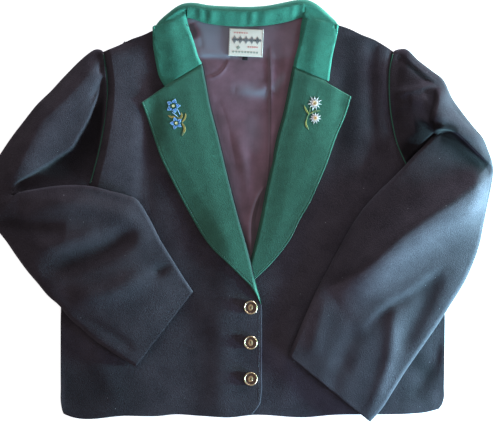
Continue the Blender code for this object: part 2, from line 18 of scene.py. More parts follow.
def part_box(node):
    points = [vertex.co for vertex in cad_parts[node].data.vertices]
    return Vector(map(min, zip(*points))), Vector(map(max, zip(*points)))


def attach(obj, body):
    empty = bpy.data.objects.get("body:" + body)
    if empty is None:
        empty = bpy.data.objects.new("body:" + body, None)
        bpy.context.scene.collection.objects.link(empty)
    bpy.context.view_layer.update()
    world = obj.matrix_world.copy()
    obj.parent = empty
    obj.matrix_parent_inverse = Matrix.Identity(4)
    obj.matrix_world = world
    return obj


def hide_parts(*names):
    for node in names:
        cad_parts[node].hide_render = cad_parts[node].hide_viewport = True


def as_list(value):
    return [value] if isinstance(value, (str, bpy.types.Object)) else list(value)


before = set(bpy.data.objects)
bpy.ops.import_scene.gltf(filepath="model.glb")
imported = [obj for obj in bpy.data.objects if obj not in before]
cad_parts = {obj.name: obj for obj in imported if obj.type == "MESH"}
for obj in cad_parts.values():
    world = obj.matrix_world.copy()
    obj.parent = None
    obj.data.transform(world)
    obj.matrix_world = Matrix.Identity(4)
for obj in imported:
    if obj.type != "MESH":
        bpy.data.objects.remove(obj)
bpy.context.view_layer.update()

print("nodes in the packed jacket:", len(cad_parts))

# %% [markdown]
# ## Where to measure from
# A maker measures from the hem and from the middle of the back. All sizes here are in millimetres:
# across is to the wearer's left, up is towards the collar, and 0, 0 is the middle of the hem. The
# top button's packed box tells where that point lies in the shared frame.

# %% Find the middle of the hem
MM = 0.001
TOP_BUTTON = (2.5, 159.5)  # across and up
low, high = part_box("button_1")
HOME = np.array([(low[i] + high[i]) / 2 / MM - TOP_BUTTON[i] for i in (0, 1)] + [0.0])
print("middle of the hem at", HOME.round(1), "mm")

# %% Thicknesses of the cloths, and the gap at a seam and between loose layers
LODEN, GREEN_WOOL, SATIN, TAPE = 2.0, 2.4, 1.0, 0.6
SEAM, LAYER = 0.3, 0.5
print("two layers of loden:", 2 * LODEN + LAYER, "mm")

# %% [markdown]
# ## Curves
# A pattern cutter joins a few measured points with a French curve. The first helper does the same
# between the rows of a table. The others make the soft steps by which one height passes to another.

# %% Smooth curves and steps
def smooth_curve(keys, values, at):
    """Values at given keys along a smooth curve through a table, as a French curve draws it."""
    keys, values = np.asarray(keys, float), np.asarray(values, float)
    slopes = np.gradient(values, keys, axis=0)
    at = np.clip(at, keys[0], keys[-1])
    i = np.clip(np.searchsorted(keys, at) - 1, 0, len(keys) - 2)
    span = keys[i + 1] - keys[i]
    s = (at - keys[i]) / span
    if values.ndim > 1:
        s, span = s[:, None], span[:, None]
    start = (1 + 2 * s) * (1 - s) ** 2 * values[i] + s * (1 - s) ** 2 * span * slopes[i]
    end = s * s * (3 - 2 * s) * values[i + 1] - s * s * (1 - s) * span * slopes[i + 1]
    return start + end


def curve_at(points, at):
    """The second column of a table where its first column has this value."""
    return smooth_curve(points[:, 0], points[:, 1], at)


def ramp(value, low, high):
    """0 below low, 1 above high and a smooth step between."""
    share = np.clip((value - low) / (high - low), 0.0, 1.0)
    return share * share * (3 - 2 * share)


def soft_max(first, second, round_over):
    """The larger of two heights, with the corner between them rounded."""
    return (first + second + np.sqrt((first - second) ** 2 + round_over**2)) / 2
# %% Sides of the body, as up and across
RIGHT_SIDE = np.array([  # up, across
    (-4, -272), (4, -276), (14, -278), (40, -278.4), (100, -278.6), (160, -278), (205, -275),
    (250, -268), (290, -257), (325, -246), (338, -238), (369, -228), (413, -218), (454, -212),
    (482, -210), (503, -211), (522, -214), (537, -216),
])
LEFT_SIDE = np.array([
    (-4, 276), (4, 284), (13, 287.6), (35, 288.4), (80, 289), (115, 289.5), (150, 289.5),
    (205, 285), (250, 276), (290, 265), (325, 254), (338, 248),
    (371, 233), (404, 219), (425, 214), (450, 210), (487, 208), (512, 209), (524, 211), (537, 214),
])
print("body", round(float(curve_at(LEFT_SIDE, 80.0) - curve_at(RIGHT_SIDE, 80.0))), "mm wide")

# %% Shoulders with the neck, and the hem, as across and up
SHOULDERS_AND_NECK = np.array([  # across, up
    (-216, 537), (-194, 546), (-173, 556), (-156, 562), (-141, 569), (-124, 576), (-100, 586),
    (-92, 588), (-65, 581), (-36, 577), (1, 576), (38, 579), (61, 584), (80, 589), (92, 588),
    (130, 577), (148, 571), (167, 562), (185, 555), (202, 545), (214, 537),
])
HEM = np.array([  # across, up
    (-278, 4), (-272, 1), (-180, -1), (-130, -1), (-113, 1), (-72, -1), (-25, -3), (0, 0),
    (87, -3), (120, 0), (190, 1), (237, 2), (260, 4), (288, 11),
])
NECK_SEAM_LOW = 576.0
print("back", NECK_SEAM_LOW - curve_at(HEM, -25.0), "mm long")

# %% [markdown]
# ## Folds
# Laid wool keeps soft folds. Each is drawn as a line on the cloth with a height on its left and
# on its right. Equal heights make a ridge or a trough. A high side beside a low one makes the edge
# of a fold that lies over a hollow. A height dies away with distance as a bell curve does.

# %% Draw a fold
LINE_STEPS = 6  # drawn points for each listed point


def fold(points, height, reach, low=None, low_reach=None, soft=1.3, ends=(0.3, 0.3)):
    """One fold: its line, and its height and reach in mm on the left of the line and on the right.

    soft is how gently one side passes to the other. ends are the shares over which it fades."""
    points = np.array(points, float)
    keys = along_line(points)
    line = smooth_curve(keys, points, np.linspace(0, keys[-1], LINE_STEPS * len(points)))
    low, low_reach = (height, reach) if low is None else (low, low_reach)
    return line, (height, reach), (low, low_reach), soft, ends


def along_line(points):
    """The distance of each point from the first, measured along the line."""
    return np.concatenate([[0], np.cumsum(np.hypot(*np.diff(points, axis=0).T))])


def end_weight(along, share):
    """How strong a fold is near one of its ends, which it fades over this share of its length."""
    return 1 - (1 - np.clip(along / share, 0, 1)) ** 2 if share else 1.0


# %% Add up a field of folds
DIES_AWAY = 2.8  # reaches from its line to where a fold is flat


def nearest_on_line(line, spots):
    """For each spot, its distance to the line, the side that it lies on and its share along."""
    best, side, along = np.full(len(spots), np.inf), np.zeros(len(spots)), np.zeros(len(spots))
    for i, (start, end) in enumerate(zip(line[:-1], line[1:])):
        run = end - start
        share = np.clip((spots - start) @ run / (run @ run), 0, 1)
        offset = spots - (start + share[:, None] * run)
        away = np.hypot(*offset.T)
        closer = away < best
        best[closer] = away[closer]
        side[closer] = np.sign(run[0] * offset[:, 1] - run[1] * offset[:, 0])[closer]
        along[closer] = ((i + share) / (len(line) - 1))[closer]
    return best, side, along


def fold_heights(folds, across, up):
    """The summed height of the folds at each place on the cloth."""
    spots = np.column_stack([across, up])
    total = np.zeros(len(spots))
    for line, left, right, soft, ends in folds:
        margin = DIES_AWAY * max(left[1], right[1])
        near = np.all((spots > line.min(0) - margin) & (spots < line.max(0) + margin), axis=1)
        best, side, along = nearest_on_line(line, spots[near])
        signed = side * best
        blend = 0.5 + 0.5 * np.tanh(signed / soft)
        high_side = left[0] * np.exp(-((np.maximum(signed, 0) / left[1]) ** 2))
        low_side = right[0] * np.exp(-((np.maximum(-signed, 0) / right[1]) ** 2))
        weight = end_weight(along, ends[0]) * end_weight(1 - along, ends[1])
        total[near] += weight * (blend * high_side + (1 - blend) * low_side)
    return total


# %% [markdown]
# ## Painted light and shade
# Each spot of cloth carries a number from -1 to 1 that the wool's finish multiplies into its colour:
# shade painted into the hollows of folds and just over their brinks, a little painted light on crests.
# Streaks of painted light and shade are drawn as folds too, changing this number and not the shape.

# %% Paint shade and light on a spot of cloth
PAINTED_BRINK_REACH = 2.0  # how far painted shade reaches over a hollow's brink, on its side away from the low windows
PAINTED_CREST_SHARE = 0.3  # how much less painted light a crest gets than painted shade a hollow gets


def painted_fold_shade(folds, across, up, height):
    """Painted shade, -1 in a hollow of this depth and 0 on flat cloth, and a little painted light on a crest.
    """
    here = fold_heights(folds, across, up)
    brink = fold_heights(folds, across + PAINTED_BRINK_REACH, up - PAINTED_BRINK_REACH)
    return np.clip(np.minimum(here, brink) / height, -1, 1) * np.where(here > 0, PAINTED_CREST_SHARE, 1.0)


# %% Folds of the fronts, and their streaks of painted light and shade
FRONT_FOLDS = [
    fold(
        [(-210, 549), (-208, 510.5), (-205, 466), (-208, 407), (-219, 355), (-228, 318)],
        6.6, 42, 6.6, 9, ends=(0.1, 0.25),
    ),
    fold(
        [(-137.5, 525.5), (-140.5, 481), (-146.5, 422), (-155.5, 348), (-152.5, 259)],
        -1.8, 15, ends=(0.3, 0.3),
    ),
    fold([(-124.5, 259), (-87.5, 200), (-65, 126)], 1.2, 22),
    fold(
        [(205.5, 555), (200, 510.5), (200, 451.5), (211.5, 392), (226.5, 348)],
        1.6, 13, 1.6, 16, ends=(0.1, 0.25),
    ),
    fold([(183.5, 552), (180.5, 496), (182, 436.5), (191, 370)], -1.4, 8, ends=(0.1, 0.4)),
    fold([(167, 561), (163, 481), (158.5, 392), (137.5, 288.5)], 0.7, 13, ends=(0.2, 0.5)),
    fold([(142, 525.5), (134.5, 436.5), (120, 333)], -0.8, 10),
    fold([(291.5, 111), (265, 63.5), (241, 25)], -1.2, 12),
    fold([(-235.5, 96), (-205.5, 52), (-194, 1.5)], 0.8, 16),
    fold([(-50.5, 170), (-40, 96), (-49, 1.5)], 0.8, 18),
    fold([(60.5, 170), (55, 96), (60.5, 1.5)], 0.8, 16),
]

# Streaks of painted light and shade on the fronts. They change the painted light number, not the shape.
FRONT_PAINTED_STREAKS = [
    fold([(-157, 549), (-155.5, 466), (-161.5, 392), (-146.5, 274)], 0.75, 14),
    fold([(152.5, 564), (154, 466), (143.5, 370)], -0.6, 17, ends=(0.05, 0.3)),
    fold([(-274, 34), (-146.5, 28)], -0.6, 34, ends=(0.05, 0.3)),
    fold([(49, 163), (52, 7.5)], 0.3, 18, ends=(0.2, 0.1)),
    fold([(232.5, 96), (259, 69.5), (282.5, 46)], -0.6, 15),
    fold([(217.5, 32.5), (277, 26.5)], -0.5, 20),
]
print("folds of the fronts:", len(FRONT_FOLDS), "and streaks of nap:", len(FRONT_PAINTED_STREAKS))

# %% [markdown]
# ## Stacked layers
# Each layer lies on the one below it, so its height is worked out from that one. The collar's fall
# runs under the back. The lining lies in the back, the left front on the lining, and the right
# front on the left one. Ramps let a layer climb onto an edge without a step.

# %% Heights of the stacked layers
FALL_EDGE_UP, FALL_EDGE_RISE, FALL_HALF_WIDTH = 536.0, 32.0, 141.0  # free edge under the back
FALL_CLIMB = (100, 4)  # the back climbs onto that edge between these distances below it
LINING_SPACE, LINING_CLIMB = 1.5, 70
HIDDEN_FRONT_EDGE = -20.0  # where the wearer's left front ends, under the right one
FRONT_CLIMB, LAPEL_CLIMB = (-95, HIDDEN_FRONT_EDGE - 5), (-95, -22)  # across
BELOW_LAPEL, ABOVE_OVERLAP = (80, 165), (228, 370)  # up
SEAM_CALM, DEEPEST_HOLLOW = 12, -1.2


def neck_lift(across, up):
    """How far the collar's fall, lying under the back, lifts what lies on it."""
    edge = FALL_EDGE_UP + FALL_EDGE_RISE * (across / FALL_HALF_WIDTH) ** 2
    return (GREEN_WOOL + LAYER) * ramp(up, edge - FALL_CLIMB[0], edge - FALL_CLIMB[1])


def lining_bottom(across, up):
    """The lining lies loosely on the back."""
    return neck_lift(across, up) + LODEN + LAYER


def left_front_bottom(across, up):
    """The wearer's left front lies on the lining and comes down to the back at its side seam."""
    inside = np.minimum(across - curve_at(RIGHT_SIDE, up), curve_at(LEFT_SIDE, up) - across)
    lining = LINING_SPACE * ramp(inside, 0, LINING_CLIMB)
    folds = fold_heights(FRONT_FOLDS, across, up) * ramp(inside, 0, SEAM_CALM)
    return neck_lift(across, up) + LODEN + SEAM + lining + np.maximum(folds, DEEPEST_HOLLOW)


def right_front_bottom(across, up):
    """The wearer's right front buttons over the left one and, higher up, over its lapel."""
    front = (LODEN + LAYER) * ramp(across, *FRONT_CLIMB)
    lapel = (GREEN_WOOL + LAYER) * ramp(across, *LAPEL_CLIMB) * ramp(up, *BELOW_LAPEL)
    return left_front_bottom(across, up) + (front + lapel) * (1 - ramp(up, *ABOVE_OVERLAP))


# %% [markdown]
# ## Cloth from a grid
# Every sheet starts as one flat grid, as cloth starts flat. A place function then bends it: it takes
# each point's share across the piece and its rise along it, and gives where that point lies. A
# Solidify modifier gives the wall, and a small Bevel rounds the cut edges, so both can be changed
# later without drawing the sheet again.

# %% Bend a grid of cloth
def link(name, mesh):
    """A new object for a mesh, at the origin of the scene."""
    piece = bpy.data.objects.new(name, mesh)
    bpy.context.scene.collection.objects.link(piece)
    return piece


def finished_mesh(name, bm):
    """A smooth-shaded object from a bmesh, which is freed."""
    mesh = bpy.data.meshes.new(name)
    bm.to_mesh(mesh)
    bm.free()
    mesh.shade_smooth()
    return link(name, mesh)


def bent_grid(name, columns, rows, place, tube=False):
    """A grid of cloth bent to shape. A tube's two long edges meet and are merged.

    place may give a fourth value for each spot: painted shade down to -1, painted light up to 1."""
    bm = bmesh.new()
    bmesh.ops.create_grid(bm, x_segments=columns, y_segments=rows, size=0.5)
    flat = np.array([vert.co for vert in bm.verts], float) + 0.5
    bent = place(flat[:, 0], flat[:, 1])
    spots = (np.column_stack(bent[:3]) + HOME) * MM
    painted_lights = bent[3] if len(bent) > 3 else np.zeros(len(spots))
    layer = bm.verts.layers.float.new("painted_light")
    for vert, spot, painted_light in zip(bm.verts, spots, painted_lights):
        vert.co = spot
        vert[layer] = painted_light
    if tube:
        bmesh.ops.remove_doubles(bm, verts=bm.verts[:], dist=1e-6)
        bmesh.ops.recalc_face_normals(bm, faces=bm.faces[:])
    return finished_mesh(name, bm)


# %% Give it a wall
def give_wall(piece, thickness, offset=-1.0, rim=0.7):
    """The cloth's own thickness, with its cut edges rounded."""
    wall = piece.modifiers.new("wall", "SOLIDIFY")
    wall.thickness = thickness * MM
    wall.offset = offset
    soft = piece.modifiers.new("soft edge", "BEVEL")
    soft.width = rim * MM
    soft.segments = 2
    soft.limit_method = "ANGLE"
    soft.angle_limit = math.radians(60)  # only the cut edges are as sharp as that
    return piece


def fine_edges(share, fineness=0.8):
    """Moves grid lines towards both ends, where cloth turns round its edge."""
    return share - fineness * np.sin(2 * np.pi * share) / (2 * np.pi)


def rounded(distance, radius):
    """How far a turned edge drops at a distance from its brink."""
    reach = np.clip(1 - distance / radius, 0, 1)
    return radius * (1 - np.sqrt(1 - reach**2))


# %% [markdown]
# ## Back
# The back lies face down on the floor. It is one panel from side seam to side seam, so its grid is
# stretched between the two side curves, from the hem to the shoulders. Small clearances in the
# shoulder line let the collar pass round it to the under side.

# %% Back panel
BACK_TOP = (-216, 214)  # across, the ends of the shoulder line
SIDES_TOP = 537
NOTCH_DEPTH = 9
RIGHT_NOTCH, LEFT_NOTCH = (-143, -136, -112, -104), (92, 100, 124, 131)  # across


def shoulder_notch(across):
    """The clearance in the shoulder line where the collar passes round it."""
    right = ramp(across, *RIGHT_NOTCH[:2]) * (1 - ramp(across, *RIGHT_NOTCH[2:]))
    left = (1 - ramp(across, *LEFT_NOTCH[2:])) * ramp(across, *LEFT_NOTCH[:2])
    return NOTCH_DEPTH * (right + left)


def place_back(share, rise):
    share, rise = fine_edges(share), fine_edges(rise)
    top_across = BACK_TOP[0] + share * (BACK_TOP[1] - BACK_TOP[0])
    side_low = curve_at(RIGHT_SIDE, rise * SIDES_TOP)
    side_high = curve_at(LEFT_SIDE, rise * SIDES_TOP)
    across = side_low + share * (side_high - side_low)
    top = curve_at(SHOULDERS_AND_NECK, top_across) - shoulder_notch(top_across)
    up = rise * top + (1 - rise) * curve_at(HEM, across)
    return across, up, neck_lift(across, up) + LODEN


back_panel = give_wall(bent_grid("back_panel_cloth", 110, 110, place_back), LODEN)
print("back panel:", len(back_panel.data.polygons), "faces")

# %% [markdown]
# ## Lining
# The mauve brown satin shows only in the open neck, so it is made as far as a little beyond the roll
# of each lapel. Satin is thin and slippery: it keeps fine creases. Its sheen and shade are painted:
# the painted light number is used here for them, with 1 for a painted highlight, below 0 for shade.

# %% Roll lines, where each lapel and the collar turn inwards, as up and across
RIGHT_ROLL = np.array([  # up, across
    (160, 19), (175, 16), (189, 12), (215, 6), (244, -1), (293, -15), (351, -30), (414, -45),
    (460, -57), (496, -64), (517, -69), (530, -76), (554, -83), (571, -90), (590, -94),
])
LEFT_ROLL = np.array([
    (160, -19), (170, -16), (188, -11), (203, -6), (216, -2), (237, 4), (260, 10), (292, 17),
    (339, 26), (371, 33), (411, 41), (444, 50), (471, 56), (491, 60), (514, 65), (539, 72),
    (567, 77), (590, 81),
])
print("neck opening:", round(float(curve_at(LEFT_ROLL, 500.0) - curve_at(RIGHT_ROLL, 500.0))), "mm wide")

# %% Creases of the lining, and its painted sheen and shade
LINING_FOLDS = [
    fold([(29, 546), (31, 466), (29.5, 392), (25, 342)], 1.6, 3.0, -0.4, 5.0, soft=0.7, ends=(0.15, 0.3)),
    fold([(35, 543), (35.5, 451.5), (32.5, 348)], 0.9, 3.5, ends=(0.2, 0.3)),
    fold([(-31.5, 524.5), (-37, 513.5), (-48, 503.5), (-65, 499)], 0.9, 3.0, -0.5, 4.0, soft=0.7),
    fold([(-75.5, 529), (-53.5, 530.5), (-29.5, 527.5)], 1.0, 9, -0.6, 10, soft=2.0, ends=(0, 0.1)),
    fold([(-20.5, 481), (9, 478), (34, 490)], 1.0, 7),
    fold([(-84.5, 573), (-78.5, 559.5), (-74, 540)], -1.0, 7, ends=(0.1, 0.2)),
    fold([(-19, 422), (-4.5, 362.5), (4.5, 296)], 1.2, 10),
    fold([(19, 336), (13.5, 311), (7.5, 285.5)], 1.6, 5, -1.0, 5, soft=1.0),
    fold([(0, 285.5), (1.5, 259), (4.5, 241)], 1.2, 5),
    fold([(-50.5, 473.5), (-34, 414.5), (-16.5, 355)], -0.8, 8),
    fold([(46, 525.5), (41.5, 481), (34, 422)], -0.8, 5),
    fold([(56, 547.5), (52, 503), (44.5, 459)], 1.0, 5),
]
# Strokes of painted sheen and painted shade: highlights, a painted shadow by the collar, light and dark lines
# by the creases
LINING_PAINTED_SHEEN = [
    fold([(-29.5, 483), (1.5, 479), (28.5, 473.5)], 0.68, 9.5, 0.68, 7.0, ends=(0.6, 0.02)),
    fold([(33.5, 479.5), (43, 491.5), (55, 507.5)], 0.5, 6, ends=(0.1, 0.5)),
    fold([(-87.5, 578.5), (-81.5, 565.5), (-78.5, 555)], -2.2, 7.5, ends=(0.1, 0.4)),
    fold([(-31.5, 524.5), (-37, 513.5), (-48, 503.5), (-60.5, 500)], -0.5, 1.6, 0.25, 3.0, soft=0.5),
    fold(
        [(30.5, 549), (31.5, 466), (30.5, 392), (26.5, 339)],
        -0.9, 1.8, 0.3, 2.2, soft=0.5, ends=(0.1, 0.2),
    ),
    fold([(23.5, 339), (12, 318), (5, 294.5), (3.5, 244)], -1.2, 6.0, 0.8, 4.5, soft=0.7, ends=(0.1, 0.2)),
    fold([(9, 448.5), (10.5, 377.5)], 0.25, 14),
    fold([(-52, 469), (-40, 422), (-19, 333)], -0.35, 7),
]
LINING_FLAT = -0.4  # no crease goes deeper, because the back lies beneath
print("creases of the lining:", len(LINING_FOLDS))

# %% Lining
LINING_FOOT, LINING_MARGIN = 150.0, 25.0
NECK_SEAM_ENDS = (-88, 76)  # across


def painted_lining_sheen(across, up, inside):
    """Painted sheen below the stand, painted shade under the edges of the lapels, darker down towards the
    buttons.
    """
    painted_light_below_stand = ramp(up, 524, 533) * (0.85 - 0.6 * ramp(across, -18, 24))
    painted_shade_under_lapels = 0.45 * (1 - ramp(inside, 1, 9))
    laid = painted_light_below_stand + fold_heights(LINING_PAINTED_SHEEN, across, up) - painted_shade_under_lapels
    return laid - 0.3 * (1 - ramp(up, 320, 430))


def place_lining(share, rise):
    up = LINING_FOOT + rise * (NECK_SEAM_LOW - 1 - LINING_FOOT)
    rolls = np.array([curve_at(RIGHT_ROLL, up), curve_at(LEFT_ROLL, up)])
    side_low, side_high = rolls.min(0) - LINING_MARGIN, rolls.max(0) + LINING_MARGIN
    across = side_low + share * (side_high - side_low)
    seam_rise = curve_at(SHOULDERS_AND_NECK, np.clip(across, *NECK_SEAM_ENDS)) - NECK_SEAM_LOW
    up = up + seam_rise * ramp(rise, 0.8, 1.0) - shoulder_notch(across) * rise
    inside = np.minimum(across - rolls.min(0), rolls.max(0) - across)
    folds = np.maximum(fold_heights(LINING_FOLDS, across, up), LINING_FLAT)
    folds = folds * ramp(inside, -12, 0) * ramp(up, 190, 225)
    # painted sheen and painted shade of the satin
    sheen = np.clip(painted_lining_sheen(across, up, inside), -1, 1)
    return across, up, lining_bottom(across, up) + SATIN + folds, sheen


lining = give_wall(bent_grid("back_lining_satin", 130, 190, place_lining), SATIN, rim=0.3)
print("lining:", len(lining.data.polygons), "faces")

# %% [markdown]
# ## Fronts
# Each front runs from its side seam to its closing edge, and above the top button to the roll of its
# lapel. Its grid is finer at the edges, where the turned cloth is rounded over and sewn down. The
# wearer's right front lies over the left one, with a rounded corner at its hem.

# %% Inner edges of the fronts
FRONT_CORNER = np.array([(0, 4), (6, 9), (15, 15.5), (30, 18.5), (60, 19), (160, 19)])
EDGE_INSET, NECK_EDGE_TOP = 2.8, 583.0  # the neck edge lies just inside the roll


def front_inner_edge(rolls, corner, up):
    """The closing edge below, then the neck edge just inside the roll of the lapel."""
    side = -1 if rolls is RIGHT_ROLL else 1
    inset = EDGE_INSET * ramp(up, rolls[0, 0] + 10, rolls[0, 0] + 50)
    return np.where(up <= rolls[0, 0], corner(up), curve_at(rolls, up) + side * inset)


# %% Fronts
TURNED_EDGE, MOST_DROP = 1.6, 1.0
FRONT_SHADE_DEPTH = 6  # depth at which the painted shade in a hollow of the fronts is darkest


def front_piece(name, sides, rolls, corner, bottom):
    """A front between its side seam and its inner edge, lying on what bottom gives."""

    def place(share, rise):
        share, rise = fine_edges(share), fine_edges(rise, 0.6)
        outer_up, inner_up = rise * sides[-1, 0], rise * NECK_EDGE_TOP
        outer = curve_at(sides, outer_up)
        inner = front_inner_edge(rolls, corner, inner_up)
        across = outer + share * (inner - outer)
        up = outer_up + share * (inner_up - outer_up)
        shoulder = curve_at(SHOULDERS_AND_NECK, across) - shoulder_notch(across)
        up = up + (shoulder - up) * ramp(rise, 0.9, 1.0) * (1 - ramp(share, 0.96, 1.0))
        up = up + curve_at(HEM, across) * (1 - rise) ** 6
        drop = rounded(np.abs(across - inner), TURNED_EDGE) + rounded(up - curve_at(HEM, across), TURNED_EDGE)
        # painted shade in the hollows of the folds, and the painted streaks of light and shade
        shade = painted_fold_shade(FRONT_FOLDS, across, up, FRONT_SHADE_DEPTH) + fold_heights(FRONT_PAINTED_STREAKS, across, up)
        top = bottom(across, up) + LODEN - np.minimum(drop, MOST_DROP)
        return across, up, top, np.clip(shade, -1, 1)

    piece = bent_grid(name, 110, 190, place)
    if sides is LEFT_SIDE:
        piece.data.flip_normals()
    return give_wall(piece, LODEN)


def buttoned_edge(up):
    """The closing edge of the wearer's right front, rounded at the hem."""
    return curve_at(FRONT_CORNER, up)


def hidden_edge(up):
    """The closing edge of the wearer's left front, straight and out of sight."""
    return HIDDEN_FRONT_EDGE + 0 * up


front_right = front_piece("front_right_cloth", RIGHT_SIDE, RIGHT_ROLL, buttoned_edge, right_front_bottom)
front_left = front_piece("front_left_cloth", LEFT_SIDE, LEFT_ROLL, hidden_edge, left_front_bottom)
print("fronts:", len(front_right.data.polygons), "faces each")

# %% [markdown]
# ## Lapels
# A lapel is the turned-back top of a front, faced with green wool. Pressing makes it spring up
# between its roll and its free edge, and a row of stitches pulls it down along that edge. So the
# grid runs from the roll to the edge, and its height is a sum of those few small effects.

# %% Outer edges of the lapels, as up and across
RIGHT_LAPEL_EDGE = np.array([
    (165, 17), (184, 7), (192, 1), (204, -11), (226, -33), (244, -52), (263, -67), (293, -85),
    (324, -102), (351, -116), (380, -130), (414, -142), (451, -155), (461, -159),
])
LEFT_LAPEL_EDGE = np.array([
    (174, -12), (188, -1), (203, 11), (216, 25), (237, 44), (260, 61), (292, 77), (312, 89),
    (338, 101), (371, 115), (411, 129), (444, 143), (470, 151),
])
STITCH_INSET = 3.6


# %% Profile of a lapel
NOTCH_AT = 0.62  # share of the top edge at which the lapel meets the collar's end


def collar_spring(from_roll, from_edge):
    """How far pressed wool springs up between its roll and its free edge."""
    return 1.5 * ramp(from_roll, 3, 34) * ramp(from_edge, 1, 30)


def under_collar(share):
    """1 where the top of a lapel runs on under the collar, and 0 past the notch."""
    return 1 - ramp(share, 0.52, NOTCH_AT)


def lapel_notch(share, rise):
    """How far the top edge rises, to its peak at the notch and then under the collar."""
    peak = np.maximum(1 - np.abs(share - NOTCH_AT) / NOTCH_AT, 0)
    return (3.5 * peak + 4.0 * under_collar(share) - 0.2) * rise**10


def lapel_drop(share, from_roll, from_edge, from_top):
    """How far the lapel turns down at its free edge, its top and its roll."""
    past_notch = 1 - ramp(from_edge, 20, 44)
    drop = rounded(from_edge, 1.8) + 1.4 * past_notch * rounded(from_top, 1.3) + 1.2 * rounded(from_roll, 5.0)
    return np.minimum(drop + 0.9 * under_collar(share) * rounded(from_top, 6.0), 2.2)


# %% Lapels
TIP_RISE, CLEARS_FRONT = 4, 56  # above the foot of the roll


def lapel_piece(name, edges, rolls, side, top_up, painted_roll_shade, front_bottom):
    """A lapel from its roll to its free edge, lying on its front, with shade painted along its roll."""
    tip_up = rolls[0, 0] + TIP_RISE

    def place(share, rise):
        share, rise = fine_edges(share, 0.88), fine_edges(rise, 0.6)
        roll_up = tip_up + rise * (top_up - tip_up)
        edge_up = edges[0, 0] + rise * (edges[-1, 0] - edges[0, 0])
        roll = np.column_stack([curve_at(rolls, roll_up), roll_up])
        edge = np.column_stack([curve_at(edges, edge_up), edge_up])
        spot = roll + share[:, None] * (edge - roll)
        across, up = spot[:, 0], spot[:, 1] + lapel_notch(share, rise)
        width = np.hypot(*(edge - roll).T)
        from_roll, from_edge = share * width, (1 - share) * width
        from_top = (1 - rise) * (top_up - tip_up)
        spring = collar_spring(from_roll, from_edge) * ramp(width, 20, 70)
        spring = spring + 0.8 * ramp(from_roll, 30, 110) * ramp(up, 260, 330) * (1 - ramp(from_top, 0, 30))
        clear = np.where(rolls[0, 0] + CLEARS_FRONT > up, 1.0, ramp(from_roll, 0.8, 2.6))
        over_front = (LODEN + LAYER) * clear
        stitched = -0.3 * np.exp(-(((from_edge - STITCH_INSET) / 0.8) ** 2)) * ramp(width, 6, 14)
        height = front_bottom(across, up) + over_front + GREEN_WOOL + spring + stitched
        # painted shade along the roll
        painted_light = painted_roll_shade * (1 - ramp(from_roll, 1.0, 5.5)) * ramp(width, 5, 20)
        return across, up, height - lapel_drop(share, from_roll, from_edge, from_top), painted_light

    piece = bent_grid(name, 64, 170, place)
    if side < 0:
        piece.data.flip_normals()
    return give_wall(piece, GREEN_WOOL)


lapel_right = lapel_piece(
    "lapel_right_wool", RIGHT_LAPEL_EDGE, RIGHT_ROLL, -1, 517.0, -1.0, right_front_bottom
)
lapel_left = lapel_piece(
    "lapel_left_wool", LEFT_LAPEL_EDGE, LEFT_ROLL, 1, 513.0, -0.3, left_front_bottom
)
print("lapels:", len(lapel_right.data.polygons), "faces each")

# %% [markdown]
# ## Collar
# The collar's fall lies on the fronts as far as the shoulders, and then wraps round them and under
# the back. Measured stations follow it from one end to the other. Each holds the free edge, the fold
# that shows as the outline, and the roll where the cloth turns down into the neck. Where the fold
# has a height, the cloth goes round it in a half circle.

# %% Stations round the collar
COLLAR = np.array([  # edge across, up, fold across, up, roll across, up, height of the fold
    (-124.4, 486.6, -99, 502, -70.6, 519.4, 0),
    (-132.5, 502, -105, 516, -76, 531, 0),
    (-137, 522, -111, 534, -80.5, 546, 0),
    (-140, 542, -115, 551, -85, 560, 0),
    (-141, 557, -117, 563, -88.5, 570, 0),
    (-141.2, 567, -119, 573, -91, 579, 0),
    (-140.8, 574, -121, 580, -92.6, 586, 0),
    (-134, 569, -137, 577, -93.6, 592, 10.8),
    (-123, 560, -131.5, 584, -93.8, 597, 10.8),
    (-108, 553, -119.5, 594.5, -92.8, 600.5, 11.4),
    (-92, 547, -106, 604.5, -90.5, 600.1, 12),
    (-78, 543, -94.5, 609, -86.5, 600.4, 12.4),
    (-64, 540.5, -80, 609.6, -77, 600.6, 12.6),
    (-44, 538, -58, 606, -57, 597, 12.6),
    (-22, 536.5, -28, 604.4, -28, 595.4, 12.6),
    (0, 536, 0, 603.8, 0, 594.8, 12.6),
    (22, 536.5, 26, 605.4, 26, 596.4, 12.6),
    (42, 538, 50, 609.8, 48, 600.8, 12.6),
    (58, 540, 68, 613.4, 65, 604.2, 12.6),
    (72, 543, 84, 614.4, 77, 605.6, 12.4),
    (86, 547, 97, 609.4, 82, 604.1, 12),
    (100, 553, 109, 600.5, 83, 601.8, 11.4),
    (112, 557, 119.5, 590.6, 82, 596, 10.8),
    (120, 565.5, 127.2, 583.4, 80.8, 591, 10.8),
    (130.4, 577, 107, 581, 79.6, 586, 0),
    (130.2, 569.5, 106, 574, 78, 579, 0),
    (129, 561.5, 104, 565, 76.6, 568.5, 0),
    (126, 548, 101, 549, 74.6, 551, 0),
    (122.4, 530, 96, 532.5, 71, 536, 0),
    (119.6, 511, 93, 518, 67.4, 523, 0),
    (117.4, 493.8, 93, 504.6, 66.6, 515.4, 0),
])
COLLAR_STEPS = 36
HALF_WOOL = GREEN_WOOL / 2
print("stations:", len(COLLAR))

# %% One station of the collar
UNDER_END, TURN_END = 0.4, 0.65  # shares of a wrapped station: under the back, round the fold
MOST_TURNED = 0.65


